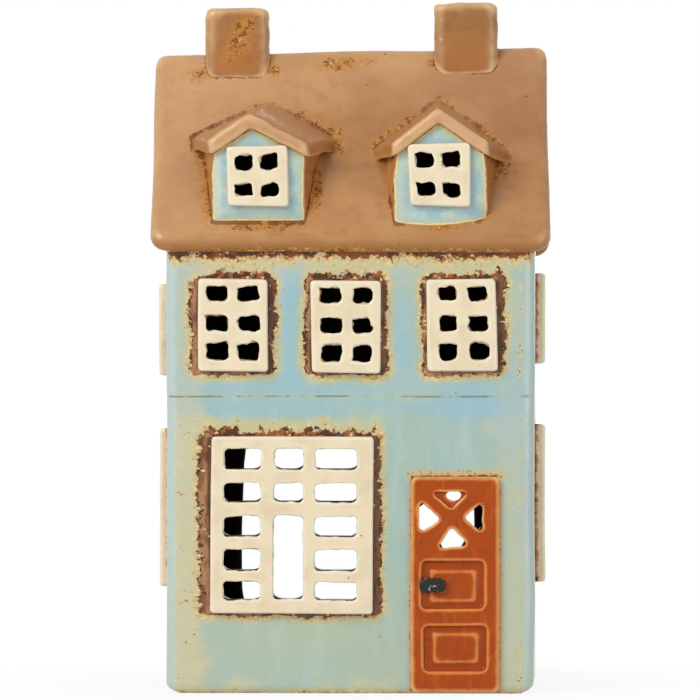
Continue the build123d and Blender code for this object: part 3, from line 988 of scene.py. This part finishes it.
def caramel_glaze(name, deep=False, run=1.0):
    """Caramel glaze in the making: paler on its edges, in part a painted highlight, and near the ridge;
    painted lighter to the left and darker to the right as the key lamp's light and shade; amber along the
    eaves.
    """
    finish = Finish(name, run)
    height, across, edge = finish.axis("Z"), finish.axis("X"), finish.stored("edge")
    finish.colour = finish.mix(finish.noise(24 * MM).step(0.35, 0.65), caramel, tan)
    mottle = finish.noise(4 * MM, detail=4.0, roughness=0.6)
    # The last two tints: painted lighter towards the left and darker towards the right, as light and shade
    # from the key lamp on the left
    finish.lay((brown_glaze, mottle.step(0.45, 0.78, 0.3)),
               (pale_tan, height.step(ridge_top - 22 * MM, ridge_top, 0.22)),
               (pale_tan, across.step(-12 * MM, -50 * MM, 0.25)),
               (brown_glaze, across.step(10 * MM, 45 * MM, 0.25)))
    wander = finish.wander(5 * MM) * 0.4
    if deep:
        # Pale on the chimneys' edges: thinner glaze, and a painted highlight along their rounded corners
        finish.lay((deep_caramel, mottle.step(0.35, 0.75, 0.95, 0.75)),
                   (pale_tan, (edge + wander * 1.8).step(0.1, 0.95, 0.85)))
    else:
        # Pale on edges: thinner glaze there, and a painted highlight on the rounded verges and eaves
        finish.lay((pale_tan, (edge + wander).step(0.3, 1.1, 0.75)))
    eaves = height + finish.wander(11 * MM, detail=2.0) * (4 * MM)
    finish.lay((caramel_amber, eaves.step(wall_top + 5 * MM, wall_top + 1 * MM, 0.85)),
               (brown_glaze, edge.step(-0.15, -0.9, 0.6)))
    finish.speckle(2.6 * MM, 0.04, dark_bark)
    return finish


def roof_glaze(name="roof_glaze", deep=False, run=1.0):
    """Caramel glaze that crawls to ochre flakes and dark cracks where pieces join."""
    finish = caramel_glaze(name, deep, run)
    if run > 1:
        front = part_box("dormer_left_roof")[0].y
        finish.lay((amber_brown, finish.axis("Y").step(front + 1.5 * MM, front + 3.5 * MM, 0.4)))
    if deep:
        low_half = finish.axis("Z").step(ridge_top + 9 * MM, ridge_top - 1 * MM, 0.4)
        finish.lay((amber, low_half * finish.stored("edge").step(0.5, 0.1)))
    core, grains = cracked(finish, finish.stored("band"), gold, pale_gold, roof_brown)
    ragged = finish.stored("crease") + finish.noise(1.3 * MM) * 1.3
    where = finish.noise(7 * MM, detail=2.0) + finish.axis("X").step(4 * MM, -4 * MM, 0.12, -0.05)
    finish.lay((roof_brown, ragged.step(1.15, 0.8) * where.step(0.46, 0.56) * 0.8))
    eave_core, eave_grains = crumbled(finish, finish.stored("eave"), amber_brown, 0.35, (pale_gold, gold),
                                      (dark_bark, rust, rust))
    height = core.most(eave_core) * -0.6 + grains.most(eave_grains) * 0.5 + finish.noise(1.4 * MM) * 0.12
    finish.relief(height, 0.45 * MM)
    finish.relief(finish.noise(9 * MM, detail=2.0), 0.55 * MM)
    return finish.glazed(core.step(0, 1, 0.4, 0.2))


def dormer_glaze():
    """Blue glaze on a dormer's face, with a cream rim, and caramel on its cheeks."""
    finish = caramel_glaze("dormer_glaze", run=dormer_run)
    cheek = finish.noise(2.6 * MM, detail=4.0, roughness=0.65, stretch=(1, 1, 2.2))
    finish.lay((amber, cheek.step(0.46, 0.66)), (dark_bark, cheek.step(0.62, 0.72)))
    clouds = finish.noise(9 * MM, stretch=(1.6, 1.6, 1)).step(0.36, 0.60)
    pale = finish.noise(5 * MM).step(0.50, 0.70, 0.6)
    ragged = finish.stored("rim_gap") + finish.wander(1.8 * MM) * (1.1 * MM)
    bright = finish.stored("face_left").step(3.5 * MM, 0.5 * MM)
    bright *= finish.axis("X").step(0.0, 1 * MM, 0.35, 0.9)
    blue = finish.layered(face_green, (face_blue, clouds), (face_pale, pale), (face_bright, bright),
                          (pale_green, ragged.step(2.6 * MM, 0.7 * MM, 0.7)),
                          (crumb_cream, ragged.step(0.75 * MM, 0.5 * MM)),
                          (caramel, ragged.step(0.28 * MM, 0.12 * MM)))
    finish.lay((blue, finish.stored("face")))
    finish.relief(finish.noise(3 * MM), 0.3 * MM)
    return finish.glazed(0.18)


def plate_glaze():
    """Thick cream glaze with a painted highlight on its edges, stained where it meets the wall."""
    finish = Finish("plate_glaze")
    finish.colour = finish.mix(finish.noise(8 * MM).step(0.4, 0.7, 0.6), cream, cream_shade)
    stain = finish.stored("depth") + finish.wander(1.8 * MM) * (2.6 * MM)
    # cream_highlight: a painted highlight on the plate's rounded edges
    finish.lay((cream_highlight, finish.stored("edge").step(0.5, 1.4, 0.45)),
               (crumb_ochre, stain.step(2.0 * MM, 2.3 * MM, 0.9)),
               (bark, stain.step(2.3 * MM, 2.6 * MM, 0.9)),
               (dark_bark, stain.step(2.7 * MM, 3.2 * MM)))
    finish.speckle(3.6 * MM, 0.03, bark)
    finish.relief(finish.noise(3.4 * MM, detail=2.0), 0.3 * MM)
    return finish.glazed(0.16)


def door_glaze():
    """Burnt orange glaze that breaks paler on edges, with a painted highlight there, and pools darker in the
    recesses, with painted shade there.
    """
    finish = Finish("door_glaze")
    finish.colour = finish.mix(finish.noise(9 * MM).step(0.35, 0.65), terracotta, terracotta_dull)
    runs = finish.noise(2.4 * MM, stretch=(0.8, 0.8, 3)).step(0.5, 0.75, 0.45)
    worn = finish.stored("edge") + finish.wander(2.6 * MM) * 0.7
    ragged = finish.stored("depth") + finish.wander(1.4 * MM) * (0.8 * MM)
    # worn: how sharp an edge is; paler where the glaze breaks and a painted highlight falls, terracotta_deep
    # in the recesses as pooled glaze and painted shade
    finish.lay((terracotta_warm, runs), (terracotta_pale, worn.step(0.2, 0.9, 0.8)),
               (terracotta_deep, worn.step(-0.2, -1.0, 0.45)), (crumb_cream, worn.step(1.15, 1.5, 0.5)),
               (dark_bark, ragged.step(1.5 * MM, 1.9 * MM)))
    finish.speckle(2.4 * MM, 0.04, dark_bark)
    finish.relief(finish.noise(4 * MM), 0.4 * MM)
    return finish.glazed(0.12, 0.2)


def simple_finish(name, span, pattern_share, first, second, reach, **settings):
    """The start of a material with one pattern for its tint and its relief."""
    finish = Finish(name)
    grain = finish.noise(span, **settings)
    finish.colour = finish.mix(grain.step(*pattern_share), first, second)
    finish.relief(grain, reach)
    return finish


def shade(colour, share):
    """A colour made darker."""
    return (*(value * share for value in colour[:3]), 1.0)


def inner_glaze():
    """Near-black dull glaze on everything inside the house: painted shade that stands in for the unlit
    interior.
    """
    finish = Finish("inner_glaze")
    grain = finish.noise(3 * MM)
    finish.colour = finish.mix(grain, painted_shade_black, painted_shade_brown)
    finish.lay((painted_shade_patch, finish.noise(9 * MM, detail=4.0).step(0.5, 0.7, 0.8)))
    finish.relief(grain, 0.3 * MM)
    return finish.glazed(0.75, 0.12)


def brushed_finish(name, colour, rough):
    """Bare metal with faint rolling marks and smudges."""
    finish = Finish(name)
    finish.relief(finish.noise(0.5 * MM, stretch=(1, 14, 1)), 0.03 * MM)
    smudge = finish.noise(6 * MM)
    finish.colour = finish.mix(smudge.step(0.4, 0.7, 0.5), colour, shade(colour, 0.82))
    return finish.done(smudge.step(0.35, 0.7, rough + 0.14, rough), Metallic=1.0)


def wax_finish():
    """White paraffin with a soft cloudy bloom."""
    finish = Finish("wax")
    bloom = finish.noise(5 * MM, detail=4.0)
    finish.colour = finish.mix(bloom.step(0.35, 0.7), wax_white, wax_shade)
    finish.relief(finish.noise(0.9 * MM), 0.05 * MM)
    finish.relief(bloom, 0.3 * MM)
    return finish.done(bloom.step(0.3, 0.7, 0.5, 0.34), Subsurface_Weight=0.25,
                       Subsurface_Radius=(0.004, 0.003, 0.002))


# Pieces


def line_inside(piece, inside, material):
    """Gives the faces whose corners are inside the house their own dark finish, the painted shade of the
    interior.
    """
    mesh = piece.data
    mesh.materials.append(material)
    corners = item_values(mesh.loops, "vertex_index", kind=np.int64)
    starts = item_values(mesh.polygons, "loop_start", kind=np.int64)
    totals = item_values(mesh.polygons, "loop_total", kind=np.int64)
    mean = np.add.reduceat(inside[corners], starts) / totals
    mesh.polygons.foreach_set("material_index", (mean > 0.5).astype(np.int32))


def convexity(points, pairs, normals, grain, passes):
    """About 1 on an outer edge of the given radius or sharper, -1 in an inner one, 0 where flat."""
    bend = ((points - neighbour_means(points, pairs)) * normals).sum(1)[:, None] * 4 / grain ** 2
    for _ in range(passes):
        bend = neighbour_means(bend, pairs)
    return np.clip(bend[:, 0] * edge_radius, -1.5, 1.5)


def placed(piece, material, body, slot, nodes):
    """Gives a piece its finish and its place in the assembly."""
    piece.data.materials.clear()
    piece.data.materials.append(material)
    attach(piece, body)
    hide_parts(*nodes)


def finished(piece, pairs, points, material, slot, nodes, grain, thick=0):
    """Puts a house piece's shape, edge values, finish and place in the assembly."""
    mesh = piece.data
    mesh.shade_smooth()
    set_points(mesh, points)
    normals = item_values(mesh.vertices, "normal", 3)
    write_values(piece, edge=convexity(points, pairs, normals, grain, 7 if thick else 2))
    set_points(mesh, warped(uneven(points, thick) if thick else points))
    placed(piece, material, "house", slot, nodes)


def make_walls(material, dark):
    """The four walls as one seamless shell."""
    nodes = ("front_wall", "back_wall", "gable_wall_left", "gable_wall_right")
    parts = [node_part(node) for node in nodes]
    for points, _ in parts[2:]:
        deep = points[:, 1]
        deep += np.sign(deep) * wall_lap * (np.abs(deep) > inner_half_depth - 0.05 * MM)
    piece, points, pairs = remeshed("walls", parts, wall_grain)
    plates = front_plates + side_plates
    points = relaxed(points, pairs, 5, pane_hold(points, plates + ("door_panel",)))
    for node in plates + ("door_panel",):
        points = grown_holes(points, node)
    across, deep, up = points.T
    span_gap, depth_gap = half_span - np.abs(across), half_depth - np.abs(deep)
    long_side = depth_gap < 1.5 * MM
    verge = (under_apex - up) * math.cos(roof_pitch) - np.abs(deep) * math.sin(roof_pitch)
    top_gap = np.where(long_side, wall_top - up, verge)
    band, beside, shaded = band_share(points, plates)
    eave = np.where(long_side, (wall_top - up) / (3.4 * MM) + 0.25, np.maximum(verge, 0) / (2.0 * MM) + 0.75)
    rim = np.minimum(np.minimum(np.maximum(span_gap, depth_gap), up + 9 * MM), top_gap + 2 * MM)
    write_values(piece, band=band + 0.25 * swells(points, 11 * MM, 41), beside=beside, shaded=shaded,
                 door_gap=door_gap(points), covered=covered_share(points, plates + ("door_panel",)),
                 rim_gap=rim, front=long_side & (deep < 0), eave=np.maximum(eave, 0),
                 foot=up / (1.4 * MM) + 0.8, groove=(up - wall_top * groove_share) / MM)
    near = (1 - np.clip(top_gap / fillet_span, 0, 1)) ** 2 * fillet_reach
    drop = np.clip(1 - up / foot_radius, 0, 1)
    drawn = foot_radius * (1 - np.sqrt(np.maximum(1 - drop ** 2, 0)))
    for column, half in ((across, half_span), (deep, half_depth)):
        column += np.sign(column) * near * eased_step(np.abs(column), half - 1.5 * MM, half - 0.5 * MM)
    across -= np.sign(across) * drawn * eased_step(np.abs(across), half_span - 5 * MM, half_span)
    finished(piece, pairs, points, material, "glaze_blue", nodes, wall_grain)
    line_inside(piece, eased_step(np.minimum(span_gap, depth_gap), 1.8 * MM, 2.8 * MM), dark)


def door_gap(points):
    """Distance from points on the front wall to the door plaque's edge."""
    low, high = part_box("door_panel")
    across, deep, up = points.T
    beyond = np.maximum(low.x - across, across - high.x)
    gap = np.hypot(np.maximum(beyond, 0), np.maximum(up - high.z, 0) * 0.7)
    return np.where(deep < 0, gap + np.where(up < high.z, np.abs(beyond) * 1.2, 0), 9 * MM)


def crawled_share(points):
    """How far outside the crawled places points lie, 1 at their edge."""
    share = np.full(len(points), outside)
    for across, up, half_wide, half_high in crawled:
        gap = np.hypot((points[:, 0] / MM - across) / half_wide, (points[:, 2] / MM - up) / half_high)
        share = np.minimum(share, np.where(points[:, 1] < 3 * MM, gap, outside))
    return share


def make_roof(material, dark):
    """Both roof slabs as one piece, folded at the ridge."""
    nodes = ("roof_slab_front", "roof_slab_back")
    parts = [node_part(node) for node in nodes]
    for (points, _), side in zip(parts, (-1, 1)):
        points[np.abs(points[:, 1]) < slack, 1] -= side * ridge_lap
    piece, points, pairs = remeshed("roof", parts, roof_grain)
    points = squared_ridge(relaxed(points, pairs, 4))
    dormers = []
    for node in ("dormer_left_roof", "dormer_right_roof", "dormer_left_body", "dormer_right_body"):
        part_points, faces = node_part(node)
        dormers.append(shape_tree(settled(part_points, node), faces))
    joint = gaps(points, dormers, 6 * MM)
    stack = gaps(points, [shape_tree(*node_part(node)) for node in chimney_spread], 3 * MM)
    patchy = 0.9 + 0.9 * swells(points, 9 * MM, 21)
    high = points[:, 2] > ridge_top - 7 * MM
    shares = (joint / (1.8 * MM) + np.maximum(patchy, 0.2) + 0.2,
              stack / (0.7 * MM) + 0.75 + np.maximum(patchy, 0),
              np.where(high, stack / (0.7 * MM) + 0.3, outside),
              crawled_share(points) * 0.6 + 0.55 + 0.4 * swells(points, 5 * MM, 23))
    write_values(piece, crease=np.minimum(joint, stack * 0.6) / MM,
                 band=np.maximum(np.min(shares, axis=0), 0.25),
                 eave=(points[:, 2] - roof_low.z) / (2.4 * MM) + 0.75 + 0.4 * np.maximum(patchy, 0))
    room = eased_step(roof_depth(points), 1.5 * MM, 3.0 * MM)
    for column, half in zip(points.T, (inner_half_span, inner_half_depth)):
        room *= eased_step(half - np.abs(column), 0, 1 * MM)
    inside = np.maximum(room, dormer_rooms(points))
    finished(piece, pairs, points, material, "glaze_brown", nodes, roof_grain)
    line_inside(piece, inside, dark)


def squared_ridge(points):
    """Fills out the roof's upper corners, which the smoothed mesh rounds too far."""
    along = eased_step(np.abs(points[:, 0]), roof_high.x - corner_span, roof_high.x)
    fill = corner_fill * along * eased_step(points[:, 2], ridge_top - corner_span, ridge_top)
    moved = points.copy()
    moved[:, 0] += np.sign(points[:, 0]) * fill
    moved[:, 2] += fill
    return moved


def dormer_rooms(points):
    """1 on the roof under a dormer's own roof and inside its walls."""
    share = np.zeros(len(points))
    across, deep, up = points.T
    for side in ("left", "right"):
        low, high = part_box(f"dormer_{side}_body")
        roof_start, roof_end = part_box(f"dormer_{side}_roof")
        aside = np.abs(across - (low.x + high.x) / 2)
        run = deep - low.y
        half = dormer_face_half - 2.2 * MM + run * math.tan(dormer_spread)
        slope = (roof_end.z - roof_start.z - 3 * MM) / ((roof_end.x - roof_start.x) / 2)
        room = (aside < half) & (run > 2.0 * MM) & (up < roof_end.z - 3.2 * MM - aside * slope)
        share[room & (deep < -1 * MM) & (up > dormer_foot)] = 1
    return share


def shaped_foot(points, node):
    """Raises the foot of a dormer's face along the roof, and lets it sag in a shallow bow."""
    low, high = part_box(node)
    raised, bowed, aside = feet[node]
    middle = (low.x + high.x) / 2 + aside
    bow = np.maximum(1 - ((points[:, 0] - middle) / (dormer_face_half + abs(aside))) ** 2, 0) ** 0.8
    front = 1 - eased_step(points[:, 1], low.y + 1.0 * MM, low.y + 5.0 * MM)
    near = 1 - eased_step(points[:, 2], dormer_foot, dormer_foot + foot_height)
    run = (bowed * bow - raised) * near * front
    return points - run[:, None] * (0, math.cos(roof_pitch), math.sin(roof_pitch))


def lifted_eaves(points, node):
    """Sets a dormer roof's eaves a little out of true, each side in its own way."""
    low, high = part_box(node)
    half = (high.x - low.x) / 2
    beyond = (points[:, 0] - (low.x + high.x) / 2) / half
    back = eased_step(points[:, 1], low.y + 1.0 * MM, low.y + eave_run)
    end = eased_step(points[:, 1], low.y + eave_run / 2, high.y)
    ridge = np.clip(1 - np.abs(beyond), 0, 1)
    moved = points.copy()
    moved[:, 1] += ridge_climb * math.cos(roof_pitch) * ridge * end
    moved[:, 2] += ridge_climb * math.sin(roof_pitch) * ridge * end + ridge_rise[node] * ridge
    for side, moves in zip((-1, 1), eave_moves[node]):
        out, up, back_out, back_up = (move * MM for move in moves)
        outer = np.clip(side * beyond, 0, 1)
        moved[:, 0] += side * outer * (out * (1 - back) + back_out * back)
        moved[:, 1] += back_up / math.tan(roof_pitch) * outer * back
        moved[:, 2] += outer * (up * (1 - back) + back_up * back)
    return moved


def swung_ridge(points):
    """Sets the left dormer's ridge askew: to the left in front, and to the right where it ends."""
    low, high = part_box("dormer_left_roof")
    rise = eased_step(points[:, 2], low.z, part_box("dormer_left_body")[1].z + 3 * MM)
    back = eased_step(points[:, 1], low.y, high.y)
    moved = points.copy()
    moved[:, 0] += rise * (swing_front + (swing_back - swing_front) * back)
    return moved


def settled(points, node):
    """A dormer's points as the clay sagged and settled before firing."""
    if node.endswith("_roof"):
        points = lifted_eaves(points, node)
    if node.startswith("dormer_left"):
        points = swung_ridge(points)
    if node in feet:
        points = shaped_foot(points, node)
    return points


def dormer_body(node, piece, points, pairs):
    """Eases a dormer's walls and stores how their face lies. Gives the points and where they are inside."""
    low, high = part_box(node)
    plate = "window_dormer_left" if "left" in node else "window_dormer_right"
    points = relaxed(points, pairs, 6, pane_hold(points, (plate,)))
    aside = points[:, 0] - (low.x + high.x) / 2
    room = eased_step(points[:, 1], low.y + 1.0 * MM, low.y + 2.6 * MM)
    room = room * eased_step(11.0 * MM - np.abs(aside), 0, 1 * MM)
    over = node.replace("_body", "_roof")
    cover = gaps(points, (shape_tree(*node_part(over)),), 5 * MM)
    rim = np.minimum(dormer_face_half - np.abs(aside), points[:, 2] - dormer_foot - 0.8 * MM)
    facing = eased_step(-item_values(piece.data.vertices, "normal", 3)[:, 1], 0.3, 0.8)
    write_values(piece, rim_gap=np.minimum(rim, cover - 0.1 * MM), face_left=aside + dormer_face_half,
                 face=facing * (points[:, 1] < low.y + 2.0 * MM))
    room = np.maximum(room, covered_share(points, (plate,)))
    points = grown_holes(points, plate)
    near = eased_step(cover, 5 * MM, 0.5 * MM)[:, None]
    return points + (lifted_eaves(points, over) - points) * near, room


def roof_top(node, piece, points, pairs):
    """Eases a chimney or a dormer's roof and stores its glaze. Gives the points and where they are inside."""
    low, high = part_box(node)
    patchy = 0.9 + 0.9 * swells(points, 6 * MM, 29)
    gap = np.maximum(-roof_depth(points), 0)
    if node.endswith("_roof"):
        points = relaxed(points, pairs, 18)
        share = gap / (1.2 * MM) + np.maximum(patchy, 0.5) + 0.25
        within = np.abs(points[:, 0] - (low.x + high.x) / 2) < dormer_face_half - 2.0 * MM
        room = (item_values(piece.data.vertices, "normal", 3)[:, 2] < -0.2) & within
        room = (room & (points[:, 1] > low.y + 3.5 * MM)).astype(float)
    else:
        points = relaxed(points, pairs, 9)
        share = gap / (0.7 * MM) + 1.05 + np.maximum(patchy, 0)
        room = np.zeros(len(points))
    if node == "chimney_left":
        right, up = points[:, 0] + 32.3 * MM, points[:, 2] - 191.0 * MM
        patch = np.hypot((right * 0.9 - up * 0.42) / (2.6 * MM), (right * 0.42 + up * 0.9) / (6.6 * MM))
        share = np.minimum(share, np.where(points[:, 1] < 0, patch * 0.7 + 0.4, outside))
    far = np.full(len(points), outside)
    write_values(piece, band=share, eave=far, crease=far)
    return points, room


def make_roof_part(node, material, dark, slot):
    """A chimney, or a dormer's walls or roof, let into the main roof."""
    points, faces = node_part(node)
    if node in chimney_spread:
        points[points[:, 2] < ridge_top + 0.3 * MM, 2] -= let_in
    else:
        inward = (0, let_in * math.sin(roof_pitch), -let_in * math.cos(roof_pitch))
        points[roof_depth(points) > -0.05 * MM] += inward
    piece, points, pairs = remeshed(f"fired_{node}", [(points, faces)], small_grain)
    shape = dormer_body if node in feet else roof_top
    points, room = shape(node, piece, points, pairs)
    points = settled(points, node)
    if node in chimney_spread:
        low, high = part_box(node)
        middle = (low.x + high.x) / 2
        points[:, 0] = middle + (points[:, 0] - middle) * chimney_spread[node]
    thick = 0 if node in feet else dormer_run if node.endswith("_roof") else 1
    finished(piece, pairs, points, material, slot, (node,), small_grain, thick)
    line_inside(piece, room, dark)


def make_plate(node, material, grain, seed):
    """A window plate with ragged panes, pressed a little into its wall."""
    _, facing, side, back, face = plate_axes(node)
    points, faces = node_part(node)
    points[np.abs(points[:, facing] * side - back) < slack, facing] -= side * plate_sink
    piece, points, pairs = remeshed(f"fired_{node}", [(points, faces)], grain)
    points = jagged(relaxed(points, pairs, 5), node, seed)
    points = skewed(relaxed(points, pairs, 1), node, seed)
    write_values(piece, depth=face - points[:, facing] * side)
    finished(piece, pairs, points, material, "glaze_cream", (node,), grain)


def oval_web():
    """A web with an oval hole, as deep as it is let into the back of the door plaque."""
    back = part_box("door_panel")[1].y
    points = []
    for depth in (back - web_thickness, back):
        for wide, high in (web_reach, web_hole):
            for turn in np.arange(web_points) * math.tau / web_points:
                points.append((web_middle[0] + wide * math.cos(turn), depth,
                               web_middle[1] + high * math.sin(turn)))
    faces = []
    rear = 2 * web_points
    for outer in range(web_points):
        next_outer = (outer + 1) % web_points
        inner, next_inner = web_points + outer, web_points + next_outer
        faces.append((outer, next_outer, next_inner, inner))
        faces.append((inner + rear, next_inner + rear, next_outer + rear, outer + rear))
        faces.append((next_outer, outer, outer + rear, next_outer + rear))
        faces.append((inner, next_inner, next_inner + rear, inner + rear))
    return np.array(points), faces


def make_door(material):
    """The door plaque."""
    piece, points, pairs = remeshed("fired_door_panel", [node_part("door_panel"), oval_web()], door_grain)
    points = jagged(points, "door_panel", 61)
    points = relaxed(points, pairs, 14, 0.6 * pane_hold(points, ("door_panel",)))
    write_values(piece, depth=points[:, 1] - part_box("door_panel")[0].y)
    finished(piece, pairs, points, material, "glaze_orange", ("door_panel",), door_grain)


def make_plain(name, node, material, slot, grain, passes):
    """A piece that only has its edges eased."""
    piece, points, pairs = remeshed(name, [node_part(node)], grain)
    finished(piece, pairs, relaxed(points, pairs, passes), material, slot, (node,), grain)


def make_house():
    """Every piece of the house."""
    # dark: the near-black finish for everything inside the house, painted shade for the unlit interior
    dark = inner_glaze()
    brown = roof_glaze()
    make_walls(wall_glaze(), dark)
    make_roof(brown, dark)
    deep = roof_glaze("chimney_glaze", deep=True)
    sloped = roof_glaze("dormer_roof_glaze", run=dormer_run)
    blue = dormer_glaze()
    for kind, material, slot in (("chimney_{}", deep, "glaze_brown"),
                                 ("dormer_{}_roof", sloped, "glaze_brown"),
                                 ("dormer_{}_body", blue, "glaze_blue")):
        for side in ("left", "right"):
            make_roof_part(kind.format(side), material, dark, slot)
    thick_cream = plate_glaze()
    for seed, node in enumerate(front_plates + dormer_plates):
        make_plate(node, thick_cream, plate_grain, 100 + 31 * seed)
    for seed, node in enumerate(side_plates):
        make_plate(node, thick_cream, side_plate_grain, 400 + 31 * seed)
    make_door(door_glaze())
    knob = simple_finish("knob_glaze", 2.0 * MM, (0.60, 0.64), knob_black, knob_pale, 0.2 * MM, roughness=0.6)
    make_plain("fired_door_knob", "door_knob", knob.glazed(0.12), "glaze_black", knob_grain, 5)
    make_plain("fired_floor", "floor_slab", dark, "glaze_blue", floor_grain, 2)


# The tealight


def turned(name, profile, steps, waver=lambda turn, height: 0.0):
    """A closed shape turned about the tealight's upright axis from a profile of radius and height."""
    points = []
    for radius, height in profile:
        for turn in (math.tau * number / steps for number in range(steps)):
            reach = radius * (1 + waver(turn, height))
            points.append((reach * math.cos(turn), reach * math.sin(turn), height))
    faces = []
    for start in range(0, len(points) - steps, steps):
        for number in range(steps):
            after = (number + 1) % steps
            faces.append((start + number, start + after, start + steps + after, start + steps + number))
    faces.append(tuple(range(steps - 1, -1, -1)))
    faces.append(tuple(range(len(points) - steps, len(points))))
    piece = new_piece(name, points, faces)
    piece.data.validate()
    piece.data.shade_smooth()
    return piece


def curve_profile(corners, reach, steps):
    """A profile whose corners are rounded, each with its own share of reach."""
    profile = [corners[0]]
    for before, corner, after in zip(corners, corners[1:], corners[2:]):
        middle = Vector(corner)
        arms = (Vector(before) - middle, Vector(after) - middle)
        span = min(reach, *(arm.length * 0.45 for arm in arms))
        start, end = (middle + arm.normalized() * span for arm in arms)
        for share in (number / steps for number in range(steps + 1)):
            point = start * (1 - share) ** 2 + middle * 2 * share * (1 - share) + end * share ** 2
            profile.append(tuple(point))
    profile.append(corners[-1])
    return profile


def make_cup(material):
    """The pressed cup, with a rolled rim and faint pleats in its side."""
    low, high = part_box("tealight_cup")
    rim = high.x
    side = rim - cup_lip
    inner = side - cup_wall
    roll = high.z - cup_lip * 1.6
    sheet = low.z + cup_wall
    corners = [(side * 0.2, low.z + cup_step), (side * 0.86, low.z + cup_step), (side * 0.88, low.z),
               (side, low.z), (side, roll), (rim, roll), (rim, high.z), (inner, high.z), (inner, sheet),
               (side * 0.88, sheet),
               (side * 0.86, sheet + cup_step), (side * 0.2, sheet + cup_step)]

    def pleats(turn, height):
        clear = eased_step(high.z - height, 1.0 * MM, 3.0 * MM)
        return pleat_share * math.sin(pleat_count * turn) * clear

    piece = turned("pressed_tealight_cup", curve_profile(corners, 0.3 * MM, 4), 240, pleats)
    placed(piece, material, "tealight", "aluminium", ("tealight_cup",))


def make_wax(material):
    """The wax, which creeps up at its edge and sinks towards the wick."""
    low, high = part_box("tealight_wax")
    radius = high.x
    corners = [(0.9 * MM, low.z + 0.6 * MM), (radius * 0.98, low.z + 0.6 * MM), (radius, low.z + 1.0 * MM),
               (radius, high.z), (radius * wax_edge, high.z - 0.05 * MM)]
    profile = curve_profile(corners, 0.2 * MM, 3)
    for share in (number / wax_rings for number in range(1, wax_rings + 1)):
        reach = radius * wax_edge * (1 - share) + 1.0 * MM * share
        creep = wax_creep * math.exp(-(1 - reach / radius) * 14)
        sink = wax_sink * math.exp(-(reach / (3.4 * MM)) ** 2)
        rise = wax_swell * math.exp(-(reach / (1.5 * MM)) ** 2)
        profile.append((reach, high.z - wax_creep + creep - sink + rise))
    placed(turned("poured_tealight_wax", profile, 96), material, "tealight", "wax", ("tealight_wax",))


def make_wick(material):
    """The wick: three plaited strands with a frayed tip."""
    low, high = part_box("tealight_wick")
    profile = []
    for share in (number / wick_levels for number in range(wick_levels + 1)):
        taper = 1 - wick_fray * max(share - (1 - wick_tip), 0) / wick_tip
        profile.append((high.x * 0.88 * taper, low.z + (high.z - low.z) * share))

    def strands(turn, height):
        climb = (height - low.z) / strand_twist * math.tau
        return 0.12 * math.cos(3 * turn - climb) + 0.04 * math.cos(9 * turn + climb)

    piece = turned("plaited_tealight_wick", profile, 36, strands)
    placed(piece, material, "tealight", "wick", ("tealight_wick",))


def make_tealight():
    """The tealight's pieces; its wick foot is hidden in the wax and keeps its plain shape."""
    make_cup(brushed_finish("aluminium", aluminium, 0.36))
    make_wax(wax_finish())
    wick = simple_finish("wick", 0.5 * MM, (0.3, 0.7), wick_white, shade(wick_white, 0.86), 0.1 * MM)
    make_wick(wick.done(0.8, Metallic=0.0))
    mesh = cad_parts["wick_foot"].data
    mesh.materials.clear()
    mesh.materials.append(brushed_finish("tinned_steel", tinned, 0.35))


bpy.context.scene.view_settings.view_transform = "Standard"
make_camera()
light_studio()
make_floor()
make_house()
make_tealight()
